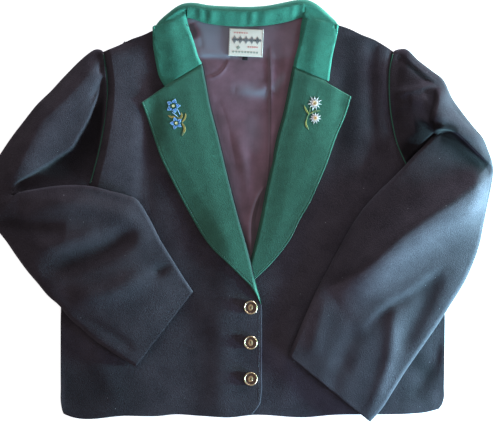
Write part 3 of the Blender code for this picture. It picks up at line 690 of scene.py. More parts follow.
def flat_station(edge, roll, shares):
    """Cloth that lies on a front. Near the shoulder more and more of it gathers at the free edge."""
    turned = MOST_TURNED * ramp(edge[1], 528, 572)
    hem = 0.05 * turned
    gathered = hem * shares / (turned + 1e-9)
    spread = hem + (1 - hem) * (shares - turned) / (1 - turned)
    shares = np.where(shares < turned, gathered, spread)
    spots = edge + shares[:, None] * (roll - edge)
    width = np.hypot(*(roll - edge))
    front = right_front_bottom(spots[:, 0], spots[:, 1]) + LODEN + LAYER + HALF_WOOL
    drop = rounded((1 - shares) * width, 3.2) + rounded(shares * width, 1.4)
    dome = collar_spring((1 - shares) * width, shares * width)
    return np.column_stack([spots, front + dome - drop])


def wrapped_station(edge, fold_spot, roll, over, shares):
    """Cloth that runs under the back, turns round the fold and comes in again to the roll."""
    outward = (fold_spot - edge) / np.hypot(*(fold_spot - edge))
    radius = (over - HALF_WOOL) / 2
    centre = fold_spot - outward * (radius + HALF_WOOL)
    angle = np.pi * (np.clip((shares - UNDER_END) / (TURN_END - UNDER_END), 0, 1) - 0.5)
    under = edge + np.clip(shares / UNDER_END, 0, 1)[:, None] * (centre - edge)
    turning = centre + outward * radius * np.cos(angle)[:, None]
    inner = centre + np.clip((shares - TURN_END) / (1 - TURN_END), 0, 1)[:, None] * (roll - centre)
    spots = np.where((shares < TURN_END)[:, None], turning, inner)
    spots = np.where((shares < UNDER_END)[:, None], under, spots)
    return np.column_stack([spots, HALF_WOOL + radius + radius * np.sin(angle)])


def collar_station(row, shares):
    """Points across one station, from the free edge over the fold to the roll."""
    edge, fold_spot, roll, over = row[0:2], row[2:4], row[4:6], row[6]
    if over == 0:
        return flat_station(edge, roll, shares)
    return wrapped_station(edge, fold_spot, roll, over, shares)


# %% Collar
def place_collar(share, rise):
    shares = np.linspace(0, 1, COLLAR_STEPS + 1)
    net = np.array([collar_station(row, shares) for row in COLLAR])
    last = len(COLLAR) - 1
    stations = smooth_curve(np.arange(len(COLLAR)), net.reshape(len(COLLAR), -1), rise * last)
    stations = stations.reshape(len(share), COLLAR_STEPS + 1, 3)
    spots = stations[np.arange(len(share)), np.round(share * COLLAR_STEPS).astype(int)]
    return spots[:, 0], spots[:, 1], np.maximum(spots[:, 2], HALF_WOOL)


collar = give_wall(bent_grid("collar_wool", COLLAR_STEPS, 210, place_collar), GREEN_WOOL, 0.0)
print("collar:", len(collar.data.polygons), "faces")

# %% [markdown]
# ## Collar stand
# The stand is the band that holds the collar up behind the neck. It shows between the neck seam and
# the collar's roll, a little rippled because its inner curve is shorter than its outer one. Three
# sine waves of different lengths give ripples that don't repeat.

# %% Collar stand
STAND_FROM, STAND_WIDTH = -91.6, 173.4  # across
STAND_START, STAND_UNDER_FOLD = 1.5, 6.0
RIPPLE_HEIGHT, STAND_DEPTH = 0.6, 24


def place_stand(share, rise):
    across = STAND_FROM + share * STAND_WIDTH
    in_stand = (COLLAR[:, 6] > 0) & (np.gradient(COLLAR[:, 2]) > 0)
    seam = curve_at(SHOULDERS_AND_NECK, across)
    low = seam - STAND_START
    fold_up = smooth_curve(COLLAR[in_stand, 2], COLLAR[in_stand, 3], across)
    fold_over = smooth_curve(COLLAR[in_stand, 2], COLLAR[in_stand, 6], across)
    up = low + rise * (fold_up - STAND_UNDER_FOLD - low)
    long_wave, short_wave = np.sin(across / 23 + 1), np.sin(across / 3.6 + 1.3 * np.sin(across / 11))
    ripple = short_wave * long_wave * np.sin(np.pi * rise)
    start = lining_bottom(across, seam) + SATIN + LAYER + GREEN_WOOL
    climb = (fold_over + HALF_WOOL + 0.3 - start) * ramp(rise, -0.2, 1.0)
    return across, up, start + climb + RIPPLE_HEIGHT * ripple - rounded((1 - rise) * STAND_DEPTH, TURNED_EDGE)


stand = give_wall(bent_grid("collar_stand_wool", 150, 20, place_stand), GREEN_WOOL)
print("stand:", len(stand.data.polygons), "faces")

# %% [markdown]
# ## Sleeves
# A laid sleeve is a flattened tube. A row of rings runs along it from armhole to cuff, bent sharply
# at the elbow. Each ring has an under wall, a turn at each side fold and an upper wall that swells
# between them. A tube drawn from rings stays one piece of cloth however it is folded.

# %% Rings along each sleeve
# inner across, up, outer across, up, how far it follows the armhole, lift at the inner fold, thickness
RIGHT_SLEEVE = np.array([
    (-238.8, 339, -216.4, 537, 1, 0, 4.7),
    (-242, 335, -222, 541, 0.85, 0, 7),
    (-246, 333, -232, 539, 0.6, 0, 9.5),
    (-255, 332, -250, 525, 0.4, 0, 11),
    (-265, 331, -274, 501, 0.25, 0, 11.4),
    (-278, 330, -293, 480, 0.12, 0, 11.4),
    (-292, 329.5, -314, 459, 0, 0, 11.4),
    (-305, 329, -333, 435, 0, 0, 11.2),
    (-318, 328, -352, 410, 0, 0, 11),
    (-330, 327, -370, 383, 0, 0, 10.6),
    (-339, 327, -382, 363, 0, 0, 10),
    (-345, 326, -388, 342, 0, 1, 9.4),
    (-348, 325.5, -390, 325, 0, 3, 9),
    (-347, 325.5, -388.5, 307, 0, 5.4, 9),
    (-341, 329, -382, 288, 0, 7, 9.4),
    (-330, 332, -370, 271, 0, 7, 10),
    (-312, 335, -358, 256, 0, 7.2, 10.6),
    (-289, 338.5, -345, 237, 0, 7.4, 11),
    (-260, 340.5, -329, 215, 0, 7.6, 11.2),
    (-232, 338.5, -312, 195, 0, 7.8, 11.4),
    (-206, 332, -297, 177, 0, 7, 11.4),
    (-181, 325.5, -280, 162, 0, 5, 11.4),
    (-163.5, 317, -265, 143.5, 0, 3, 11.2),
    (-146.5, 290, -247, 128, 0, 0, 11),
    (-130, 258, -229.5, 112.5, 0, 0, 10.4),
    (-112.5, 229.5, -210, 99, 0, 0, 9.6),
    (-96, 203, -188.5, 85, 0, 0, 8.6),
    (-82.5, 183, -167.5, 71.5, 0, 0, 7.6),
])
LEFT_SLEEVE = np.array([
    (248.8, 339, 214.4, 537, 1, 0, 4.7),
    (251.5, 338, 223.5, 541.4, 0.85, 0, 7),
    (254.5, 343, 235.5, 540, 0.6, 0, 11.5),
    (257.5, 351, 251.5, 524.7, 0.4, 0, 14.5),
    (260.5, 359.6, 272, 509, 0.25, 0, 16.5),
    (262, 370.5, 288.6, 495, 0.1, 0, 17),
    (262.5, 381, 300.4, 469, 0, 0, 16.5),
    (266, 405, 316.7, 446, 0, 0, 15.5),
    (276, 415.5, 333, 425.5, 0, 0.6, 14),
    (278, 418, 346, 410, 0, 2.6, 12.5),
    (278.6, 418, 353.7, 392, 0, 4.6, 10.6),
    (278, 417.4, 359, 377, 0, 6.0, 10.2),
    (275.5, 415.4, 361.4, 365, 0, 6.8, 9.8),
    (267.5, 408.4, 361, 355.6, 0, 7.2, 9.8),
    (256, 396.6, 359, 342.6, 0, 7.4, 10),
    (244, 384.8, 356, 327, 0, 7.8, 10.4),
    (229.4, 368.5, 351.5, 305.6, 0, 7.8, 10.8),
    (211.6, 350, 346.3, 279.7, 0, 6, 11.2),
    (189.4, 328.6, 340.4, 251.6, 0, 3, 11.4),
    (167.2, 303.4, 330, 222, 0, 0, 11.4),
    (148, 273.8, 316.7, 193.9, 0, 0, 11.4),
    (130.2, 242, 299, 165.8, 0, 0, 11.4),
    (114, 211.6, 278.2, 133.2, 0, 0, 11.2),
    (99.2, 183.5, 254.6, 99.2, 0, 0, 11),
    (85.8, 154, 231, 65, 0, 0, 10.4),
    (74, 125.8, 211.6, 34, 0, 0, 9.6),
    (65, 105, 197, 11, 0, 0, 8.6),
    (58.4, 89, 179, -9.6, 0, 0, 7.6),
])
print("rings:", len(RIGHT_SLEEVE), "and", len(LEFT_SLEEVE))

# %% [markdown]
# ## Folds of the sleeves
# The upper arms are pulled towards the elbows, so their folds fan out from there. Each forearm lies
# over the body and has one long ridge with smaller folds across it. Upper arm and forearm cross in
# the plan, so each keeps folds of its own.

# %% Folds of each sleeve, upper arm and forearm apart
RIGHT_UPPER_FOLDS = [
    fold(
        [
            (-223.5, 533), (-238.5, 521), (-254.5, 506), (-278, 476.5), (-299, 445.5), (-314, 419),
            (-328.5, 388), (-342, 359.5), (-359.5, 339),
        ],
        9.0, 42, 9.0, 19, ends=(0.15, 0.2),
    ),
    fold(
        [
            (-213, 501.5), (-223.5, 469), (-236, 435), (-248.5, 413), (-260.5, 393.5), (-277.5, 382),
            (-298, 368.5), (-321, 354.5), (-339.5, 344), (-351, 330),
        ],
        -9.5, 46, 0.0, 10, soft=1.4, ends=(0.25, 0.1),
    ),
    fold([(-217.5, 533), (-226.5, 528.5), (-237, 519.5)], -3.0, 3.2, ends=(0, 0.5)),
    fold([(-214.5, 521), (-217.5, 512), (-219, 503)], -3.0, 4.5),
    fold([(-213, 499), (-223.5, 481), (-234, 463)], -3.0, 4.5, ends=(0.1, 0.6)),
    fold([(-211.5, 484), (-219, 469), (-228, 451.5)], 2.4, 4.5),
]
RIGHT_FORE_FOLDS = [
    fold([(-309.5, 210), (-257.5, 226.5), (-205.5, 248.5), (-158.5, 282.5)], -4.0, 15),
    fold([(-376, 285.5), (-324, 279.5), (-271, 272.5)], -3.0, 12),
    fold([(-143.5, 208.5), (-123, 219), (-102, 231)], -2.6, 8),
    fold([(-339, 309.5), (-279.5, 315), (-220.5, 309.5), (-179, 294.5), (-146.5, 250)], 3.5, 18),
    fold([(-265, 176), (-205.5, 182), (-146.5, 211.5)], 3.0, 16),
    fold([(-324, 244), (-279.5, 251.5), (-220.5, 271)], 1.6, 12),
    fold([(-265, 152.5), (-213, 126), (-168.5, 96)], -1.2, 8),
]
# Streaks of painted light and shade on the right sleeve. They change the painted light number, not the shape.
RIGHT_PAINTED_STREAKS = [
    fold([(-262, 469), (-285.5, 433.5), (-312.5, 389)], 0.3, 12),
    fold([(-279.5, 324), (-235.5, 312.5), (-203, 294.5)], 0.15, 18),
]
LEFT_UPPER_FOLDS = [
    fold(
        [(216, 533), (228, 528.5), (241, 518), (259, 501.5), (279.5, 490)],
        3.4, 9, -2.6, 6, soft=1.2, ends=(0.05, 0.3),
    ),
    fold([(210, 475), (231, 478), (253, 482.5), (277, 487)], 3.0, 6.5),
    fold(
        [(277, 484), (275.5, 463), (271, 447), (268, 433.5)], 4.4, 30, -2.4, 16, soft=1.8, ends=(0.3, 0.3),
    ),
    fold([(235.5, 466), (250, 467.5), (262, 472)], 2.0, 9),
    fold([(297.5, 466), (314, 444), (334.5, 420.5)], -2.4, 3.6),
    fold([(220.5, 454.5), (229.5, 433.5), (235.5, 413)], -1.5, 12),
    fold([(223.5, 362.5), (241, 383.5), (257.5, 401), (274, 417.5)], -2.0, 24, -9.0, 30, ends=(0.1, 0.05)),
]
LEFT_ELBOW_FOLDS = [
    fold(
        [
            (272.5, 419.5), (282.5, 421), (293, 421), (303.5, 417.5), (315, 408.5), (327, 396.5),
            (343.5, 380.5), (364, 364),
        ],
        6.0, 26, -0.8, 10, soft=0.8, ends=(0.14, 0.05),
    ),
]
LEFT_FORE_FOLDS = [
    fold(
        [(359.5, 353.5), (318, 321), (260.5, 285.5), (223.5, 259), (176, 217.5), (120, 182)],
        10.4, 38, 10.4, 26, ends=(0.1, 0.45),
    ),
    fold(
        [(291.5, 226.5), (248.5, 189.5), (208.5, 166), (164.5, 124.5)],
        -2.2, 15, 0.8, 14, soft=5.0, ends=(0.4, 0.3),
    ),
    fold([(167, 131.5), (149.5, 108), (137.5, 57.5)], -1.2, 14, ends=(0.4, 0.3)),
    fold([(216, 173), (213, 126), (207, 78.5), (182, 1.5)], 2.4, 11, ends=(0.4, 0)),
    fold([(279.5, 211.5), (262, 170), (241, 126), (226.5, 87.5)], -2.8, 15, ends=(0.3, 0.3)),
    fold([(108, 176), (99, 126), (93, 87.5)], 1.3, 14),
    fold([(142, 96), (127.5, 59), (124.5, 25)], -0.8, 12),
]
# Streaks of painted light and shade on the left sleeve: a painted lit band along the forearm, painted shadows
# by the elbow.
LEFT_PAINTED_STREAKS = [
    fold(
        [(362.5, 359.5), (318, 321), (260.5, 285.5), (223.5, 259), (176, 217.5), (108, 185)],
        1.2, 38, -0.2, 26, soft=3.0, ends=(0.02, 0.1),
    ),
    fold(
        [(279.5, 481), (291.5, 454.5), (306.5, 433.5), (327, 408.5), (355, 379)], 0.2, 14, ends=(0.3, 0.05),
    ),
    fold([(282.5, 414.5), (305, 405.5), (324, 388), (351, 365.5)], -1.2, 17, ends=(0.1, 0.05)),
    fold([(223.5, 380.5), (242.5, 404), (269.5, 425)], -0.9, 13, ends=(0.2, 0.1)),
    fold([(244, 425), (259, 427.5), (274, 427.5)], -0.9, 13, ends=(0.1, 0.1)),
    fold([(268, 420.5), (277, 422), (291.5, 422), (306.5, 414.5)], -1.8, 9, ends=(0.05, 0.3)),
    fold([(223.5, 516.5), (238.5, 493), (250, 478)], -0.4, 14),
    fold([(111, 191), (87.5, 143.5), (74, 93)], 0.8, 20),
    fold([(152.5, 176), (139, 111), (137.5, 44.5)], 0.35, 22),
    fold([(211.5, 152.5), (208.5, 96), (191, 29.5)], 0.45, 10),
]
print("folds of the left forearm:", len(LEFT_FORE_FOLDS))

# %% Steps round one ring
FLAT_STEPS, TURN_STEPS = 52, 7
AROUND = 2 * (FLAT_STEPS + TURN_STEPS)
STEP = np.arange(AROUND)
WALL_STEP = STEP % (FLAT_STEPS + TURN_STEPS)
IN_TURN, UPPER = WALL_STEP >= FLAT_STEPS, STEP >= FLAT_STEPS + TURN_STEPS
HALF_TURN = np.pi * (WALL_STEP - FLAT_STEPS + 1) / (TURN_STEPS + 1)
TURNS = np.where(IN_TURN, HALF_TURN, 0.0) + np.where(UPPER, np.pi, 0.0)
FLAT_SHARE = np.clip(WALL_STEP / (FLAT_STEPS - 1), 0, 1)
SHARES = np.where(UPPER, 1 - FLAT_SHARE, FLAT_SHARE)
print("steps round a sleeve:", AROUND)

# %% Lay a sleeve on the body
SIDE_FOLD, BODY_LEVEL, LEAST_SLEEVE = 6.0, 7.2, 4.6
FOREARM_RING = 12.0
CROOK_LIFT = 2.1  # the hidden under wall is bunched up at the crook of the elbow
SEAM_GAP = 0.2


def body_height(across, up):
    """The height that a sleeve clears where it lies on the body, fading out beside it."""
    side_low, side_high = curve_at(RIGHT_SIDE, up), curve_at(LEFT_SIDE, up)
    on_body = ramp(across, side_low - 150, side_low - 3) * (1 - ramp(across, side_high + 3, side_high + 150))
    return np.maximum(BODY_LEVEL, left_front_bottom(across, up) + LODEN + LAYER) * on_body


def armhole_pull(follow, part):
    """How strongly a ring follows the armhole: wholly at the seam, then less and less."""
    return follow * (1 - (1 - ramp(follow, 0.85, 1.0)) * part**3)


def under_wall(ring_at, part):
    """The height of the under wall inside the tube."""
    bunched = ramp(ring_at, 3, 5) * (1 - ramp(ring_at, 9, 12))
    return CROOK_LIFT * bunched * (1 - ramp(part, 0.25, 0.5))


# %% Shape the sleeves
SLEEVE_ROWS = 250
SLEEVE_SHADE_DEPTH = 8  # depth at which the painted shade in a hollow of the sleeves is darkest


def folds_and_painted_shade(fold_sets, ring_at, across, up, strength):
    """Folds' height and painted shade, each set between its first and its last ring."""
    folded, painted_light = np.zeros(len(up)), np.zeros(len(up))
    for folds, first, last in fold_sets:
        here = ramp(ring_at, first - 0.5, first + 0.5) * (1 - ramp(ring_at, last - 0.5, last + 0.5))
        folded += fold_heights(folds, across, up) * (here * strength)
        painted_light += painted_fold_shade(folds, across, up, SLEEVE_SHADE_DEPTH) * (here * strength)
    return folded, painted_light


def sleeve_piece(name, rings, sides, side, fold_sets, nap):
    """fold_sets holds folds with the first and last ring that they shape. nap holds painted light and shade
    streaks.
    """

    def place(share, rise):
        at = np.round(share * AROUND).astype(int) % AROUND
        in_turn, turn = IN_TURN[at], TURNS[at]
        ring_at = rise * (len(rings) - 1)
        ring = smooth_curve(np.arange(len(rings)), rings, ring_at)
        inner, outer, thick = ring[:, 0:2], ring[:, 2:4], ring[:, 6]
        follow, lift = np.clip(ring[:, 4], 0, 1), np.maximum(ring[:, 5], 0)
        width = np.hypot(*(outer - inner).T)
        radius = np.minimum(SIDE_FOLD, thick) / 2
        inset = radius / width
        part = inset + (1 - 2 * inset) * SHARES[at]
        chord = (outer - inner) / width[:, None]
        sideways = np.where(in_turn, radius * np.sin(turn), 0.0)
        spot = inner + part[:, None] * (outer - inner) + chord * sideways[:, None]
        armhole = curve_at(sides, inner[:, 1] + part * (outer - inner)[:, 1]) + side * SEAM_GAP
        spot[:, 0] += armhole_pull(follow, part) * (armhole - spot[:, 0])
        across, up = spot[:, 0], spot[:, 1]

        base = lift * (1 - part) ** 1.2
        drape = ramp(ring_at, FOREARM_RING - 4, FOREARM_RING - 1)
        base = base + (soft_max(base, body_height(across, up), 0.6) - base) * drape
        swell = np.sin(np.pi * part) ** 0.6
        height = 2 * radius + (thick - 2 * radius) * swell
        seam_height = fold_heights(FRONT_FOLDS, across, up) * ramp(follow, 0.0, 0.3)
        height = height + seam_height * np.where(in_turn, 0, 1)
        strength = (1 - ramp(follow, 0.85, 1.0)) * ramp(swell, 0.1, 0.75)
        folded, painted_light = folds_and_painted_shade(fold_sets, ring_at, across, up, strength)
        height = soft_max(height + folded, LEAST_SLEEVE, 1.0)
        under = under_wall(ring_at, part)
        turned = np.maximum(radius - radius * np.cos(turn), under)
        level = np.where(in_turn, turned, np.where(UPPER[at], height, under))
        # the streaks add painted light and shade
        painted_light = painted_light + fold_heights(nap, across, up)
        return across, up, base + level, np.clip(painted_light, -1, 1) * UPPER[at]

    return give_wall(bent_grid(name, AROUND, SLEEVE_ROWS, place, tube=True), LODEN)


RIGHT_FOLD_SETS = [(RIGHT_UPPER_FOLDS, -1, 12), (RIGHT_FORE_FOLDS, 13, 29)]
LEFT_FOLD_SETS = [(LEFT_UPPER_FOLDS, -1, 11), (LEFT_ELBOW_FOLDS, -1, 29), (LEFT_FORE_FOLDS, 11.5, 29)]
sleeve_right = sleeve_piece("sleeve_right_cloth", RIGHT_SLEEVE, RIGHT_SIDE, -1, RIGHT_FOLD_SETS, RIGHT_PAINTED_STREAKS)
sleeve_left = sleeve_piece("sleeve_left_cloth", LEFT_SLEEVE, LEFT_SIDE, 1, LEFT_FOLD_SETS, LEFT_PAINTED_STREAKS)
print("sleeves:", len(sleeve_right.data.polygons), "faces each")

# %% [markdown]
# ## Armhole piping
# A folded strip of green wool is sewn into each armhole seam and shows as a thin round line. It is a
# small tube along the side curve, half sunk between sleeve and front, and ends where the forearm
# covers the seam.

# %% Armhole piping
PIPING_RADIUS, PIPING_STEPS, PIPING_TOP = 1.1, 10, 533.5
PIPING_INSET, PIPING_LIFT = 0.5, 0.4


def piping(name, sides, side, lowest):
    """A tube along an armhole, from this height up the body to the shoulder."""

    def place(share, rise):
        turn = 2 * np.pi * (np.round(share * PIPING_STEPS) % PIPING_STEPS) / PIPING_STEPS
        up = lowest + (PIPING_TOP - lowest) * rise
        middle = curve_at(sides, up) - side * PIPING_INSET
        height = right_front_bottom(middle, up) + LODEN + PIPING_LIFT
        outward = side * PIPING_RADIUS * np.cos(turn)
        return middle + outward, up, height + PIPING_RADIUS * np.sin(turn)

    return bent_grid(name, PIPING_STEPS, 120, place, tube=True)


piping_right = piping("armhole_piping_right_cord", RIGHT_SIDE, -1, 343.0)
piping_left = piping("armhole_piping_left_cord", LEFT_SIDE, 1, 366.0)
print("piping:", len(piping_right.data.polygons), "faces each")

# %% [markdown]
# ## Neck label and size tab
# The label is a woven tape without words, sewn to the lining under the collar stand, with a small
# dark tab below. Both are grids of their own cut size, turned a little, because labels are seldom
# sewn on quite straight, and bulging a little between their sewn edges.

# %% Label and tab
TAPE_TILT, TAPE_BULGE = math.radians(-2.5), 0.25
LABEL_SIZE, LABEL_CENTRE = (50.5, 40.5), (-4.5, 550.5)


def tape_piece(name, segments, size, centre, lift):
    """A piece of tape on the lining, of this size about this centre."""

    def place(share, rise):
        along, over = (share - 0.5) * size[0], (rise - 0.5) * size[1]
        across = centre[0] + along * math.cos(TAPE_TILT) - over * math.sin(TAPE_TILT)
        up = centre[1] + along * math.sin(TAPE_TILT) + over * math.cos(TAPE_TILT)
        bulge = TAPE_BULGE * np.sin(np.pi * share) * np.sin(np.pi * rise)
        return across, up, lining_bottom(across, up) + SATIN + lift + TAPE + bulge

    return give_wall(bent_grid(name, *segments, place), TAPE, rim=0.2)


neck_label = tape_piece("neck_label_tape", (40, 32), LABEL_SIZE, LABEL_CENTRE, 0.9)
size_tab = tape_piece("size_tab_tape", (14, 6), (8.0, 5.0), (-6.0, 527.2), 0.5)
print("label:", len(neck_label.data.polygons), "faces")

# %% [markdown]
# ## Buttons
# The buttons are cast brass with a raised rim, a sunk ring and an oval boss with a slot. A lathe
# shape like this is drawn as half a profile and spun round. The boss isn't round, so it is a
# stretched sphere of its own. Each button is sewn on at another angle.

# %% Turn a button
BUTTON_PROFILE = [  # distance from the middle and height
    (0.0, 1.5), (5.2, 1.3), (7.0, 1.4), (7.9, 1.9), (8.4, 2.6), (8.9, 3.1), (9.5, 3.0), (10.0, 2.4),
    (10.2, 1.6), (9.8, 0.8), (8.8, 0.1), (0.0, 0.0),
]
SUNK_RING, FACING_UP = 8.2, 0.2
BUTTON_TURNS = (-8, 4, -14)  # degrees
BOSS_SIZE, BOSS_HEIGHT = (4.1, 5.2, 1.9), 1.2
SLOT_SIZE, SLOT_SPOT = (0.9, 2.7, 0.4), (0.4, 0.2, 2.95)
RIM_PART, RING_PART, SLOT_PART = 0, 1, 2  # order of the finishes


def oval(bm, turned, spot, size, around, rings):
    """A sphere stretched to half sizes in mm about a spot on a button."""
    place = Matrix.Translation(Vector(spot) * MM) @ Matrix.Diagonal((*[half * MM for half in size], 1))
    return bmesh.ops.create_uvsphere(
        bm, u_segments=around, v_segments=rings, radius=1.0, matrix=turned @ place
    )


def button_piece(number):
    """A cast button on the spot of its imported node."""
    bm = bmesh.new()
    verts = [bm.verts.new((radius * MM, 0, height * MM)) for radius, height in BUTTON_PROFILE]
    edges = [bm.edges.new(pair) for pair in zip(verts, verts[1:])]
    bmesh.ops.spin(
        bm, geom=verts + edges, cent=(0, 0, 0), axis=(0, 0, 1), angle=2 * math.pi, steps=56, use_merge=True
    )
    bmesh.ops.remove_doubles(bm, verts=bm.verts[:], dist=1e-6)
    bmesh.ops.recalc_face_normals(bm, faces=bm.faces[:])
    for face in bm.faces:
        reach = math.hypot(*face.calc_center_median().xy)
        sunk = reach < SUNK_RING * MM and face.normal.z > FACING_UP
        face.material_index = RING_PART if sunk else RIM_PART
    turned = Matrix.Rotation(math.radians(BUTTON_TURNS[number - 1]), 4, "Z")
    oval(bm, turned, (0, 0, BOSS_HEIGHT), BOSS_SIZE, 28, 14)
    slot = oval(bm, turned, SLOT_SPOT, SLOT_SIZE, 16, 10)
    for vert in slot["verts"]:
        for face in vert.link_faces:
            face.material_index = SLOT_PART
    low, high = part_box(f"button_{number}")
    spot = Vector(((low[0] + high[0]) / 2, (low[1] + high[1]) / 2, low[2]))
    bmesh.ops.translate(bm, verts=bm.verts[:], vec=spot)
    return finished_mesh(f"button_{number}_brass", bm)


buttons = [button_piece(number) for number in (1, 2, 3)]
print("buttons:", len(buttons), "of", len(buttons[0].data.polygons), "faces")

# %% [markdown]
# ## Thread
# Sewing thread lies in short, low beads on the cloth. Each bead here is a stretched sphere of a few
# faces, dropped onto the finished cloth by a ray from above, so it follows the cloth's own shape
# from any side. One template sphere is moved for each bead, because making thousands is slow.

# %% Find the top of the cloth
RAY_START = 0.1


def top_of(piece):
    """A function that gives the top of a finished piece over a spot on the table."""
    tree = BVHTree.FromObject(piece, bpy.context.evaluated_depsgraph_get())

    def top(across, up):
        above = Vector(((across + HOME[0]) * MM, (up + HOME[1]) * MM, RAY_START))
        spot, normal, _, _ = tree.ray_cast(above, Vector((0, 0, -1)))
        return spot, normal

    return top


# %% Lay one bead of thread
bm = bmesh.new()
bmesh.ops.create_uvsphere(bm, u_segments=6, v_segments=4, radius=0.5)
BEAD = bpy.data.meshes.new("bead")
bm.to_mesh(BEAD)
bm.free()
BEAD_SPOTS = np.array([(*vert.co, 1.0) for vert in BEAD.vertices])
OVERRUN, SUNK_SHARE = 0.5, 0.15  # shares of its width past its ends, and of its thickness above the cloth


def bead(bm, top, start, end, width, thick, lift=0.0, material=0):
    """One stitch of thread between two spots on the cloth, in mm: the bead template, moved there."""
    (first, up_one), (last, up_two) = top(*start), top(*end)
    if first is None or last is None:
        return
    run, normal = last - first, (up_one + up_two).normalized()
    along = run.normalized()
    side = normal.cross(along).normalized()
    normal = along.cross(side)
    length = run.length + OVERRUN * width * MM
    shape = Matrix((side * width * MM, normal * thick * MM, along * length)).transposed()
    middle = (first + last) / 2 + normal * (lift + SUNK_SHARE * thick) * MM
    place = Matrix.Translation(middle) @ shape.to_4x4()
    spots = BEAD_SPOTS @ np.array(place)[:3].T
    BEAD.vertices.foreach_set("co", spots.ravel())
    BEAD.polygons.foreach_set("material_index", [material] * len(BEAD.polygons))
    bm.from_mesh(BEAD)


def thread_piece(name, lay):
    """All the beads that lay puts down, as one piece."""
    bm = bmesh.new()
    lay(bm)
    return finished_mesh(name, bm)


print("a bead has", len(BEAD.polygons), "faces")

# %% [markdown]
# ## Stitching
# The free edges of the lapels and the closing edge of the front are sewn through by machine. The
# stitches are all of one length, at one distance from the edge.

# %% Rows of stitches
STITCH_PITCH, STITCH_LENGTH, STITCH_WIDTH, STITCH_THICK = 3.4, 2.3, 0.55, 0.45
EDGE_POINTS, LAPEL_FOOT_POINTS = 60, 6  # points along an edge, and those left bare at its foot
CLOSING_STITCHES = [(14.6, up) for up in range(20, 158, 6)]


def stitch_row(name, top, line):
    """Evenly spaced stitches along a line on the cloth."""
    line = np.asarray(line, float)
    keys = along_line(line)

    def lay(bm):
        starts = np.arange(STITCH_PITCH, keys[-1] - STITCH_PITCH, STITCH_PITCH)
        ends = starts + STITCH_LENGTH
        for start, end in zip(smooth_curve(keys, line, starts), smooth_curve(keys, line, ends)):
            bead(bm, top, start, end, STITCH_WIDTH, STITCH_THICK)

    return thread_piece(name, lay)


def inside_line(edge, inset, side):
    """The line that runs a stitch's distance inside an edge given as up and across."""
    ups = np.linspace(edge[0, 0], edge[-1, 0], EDGE_POINTS)
    points = np.column_stack([curve_at(edge, ups), ups])
    along = np.gradient(points, axis=0)
    along /= np.hypot(*along.T)[:, None]
    return points + side * inset * np.column_stack([-along[:, 1], along[:, 0]])


bpy.context.view_layer.update()
right_top, left_top, front_top = top_of(lapel_right), top_of(lapel_left), top_of(front_right)
right_line = inside_line(RIGHT_LAPEL_EDGE, STITCH_INSET, -1)[LAPEL_FOOT_POINTS:]
left_line = inside_line(LEFT_LAPEL_EDGE, STITCH_INSET, 1)[LAPEL_FOOT_POINTS:]
stitching = [
    stitch_row("lapel_right_stitches", right_top, right_line),
    stitch_row("lapel_left_stitches", left_top, left_line),
    stitch_row("front_edge_stitches", front_top, CLOSING_STITCHES),
]
print("stitching:", sum(len(row.data.polygons) for row in stitching), "faces")

# %% [markdown]
# ## Satin stitch
# Both flowers are satin stitch: threads laid side by side, from the middle of a petal to its edge.
# A petal is a fan of beads here, a leaf is a row of slanting beads along its vein, and the heart of
# a flower is a knot of small round stitches.

# %% Petals, leaves and knots
BELLY_AT, FOOT_SHARE, TIP_SHARE = 0.38, 0.45, 0.30
PETAL_THREAD, LEAF_THREAD, KNOT_THREAD = (0.62, 0.6), (0.6, 0.55), (0.75, 0.8)  # width, thickness
LEAF_STEP, SLANT = 0.5, 0.9
KNOT_RINGS = ((0.0, 1), (0.45, 6), (0.85, 10))  # share of the radius, and stitches


def heading(turn):
    """The unit vector at an angle."""
    return np.array([math.cos(turn), math.sin(turn)])


def petal(bm, top, centre, turn, inner, outer, half_width, threads, material):
    """A pointed petal of threads that run along it."""
    along = heading(turn)
    aside = np.array([-along[1], along[0]])
    widest = inner + BELLY_AT * (outer - inner)
    for j in np.linspace(-1, 1, threads):
        foot = centre + along * (inner + 0.3 * abs(j)) + aside * half_width * FOOT_SHARE * j
        belly = centre + along * widest + aside * half_width * j
        point = outer - 0.55 * (outer - widest) * abs(j)
        tip = centre + along * point + aside * half_width * TIP_SHARE * j
        bead(bm, top, foot, belly, *PETAL_THREAD, 0.1, material)
        bead(bm, top, belly, tip, *PETAL_THREAD, 0.1, material)


def leaf(bm, top, vein, half_width, materials):
    """Slanting threads on both sides of a vein, with another shade for its last third."""
    vein = np.asarray(vein, float)
    keys = along_line(vein)
    for at in np.arange(0.3, keys[-1] - 0.6, LEAF_STEP):
        start, ahead = smooth_curve(keys, vein, np.array([at, at + 1.0]))
        along = (ahead - start) / np.hypot(*(ahead - start))
        swell = half_width * math.sin(math.pi * at / keys[-1]) ** 0.7 + 0.15
        for side in (-1, 1):
            end = start + along * SLANT + side * swell * np.array([-along[1], along[0]])
            bead(bm, top, start, end, *LEAF_THREAD, 0.05, materials[0 if at < 0.7 * keys[-1] else 1])


def knot(bm, top, centre, radius, material):
    """A round seed of small stitches."""
    for ring, count in KNOT_RINGS:
        for i in range(count):
            spot = np.array(centre) + radius * ring * heading(2 * math.pi * (i + ring) / count)
            bead(bm, top, spot - (0.3, 0.1), spot + (0.3, 0.1), *KNOT_THREAD, 0.45, material)


# %% [markdown]
# ## Gentian
# The gentian on the wearer's right lapel has two flowers of five pointed petals, bright blue with a
# paler rim and a cream heart, on pale stems with leaves in mustard and olive. Each petal is three
# fans of thread beside each other, with a thread of the paler blue along each of its sides.

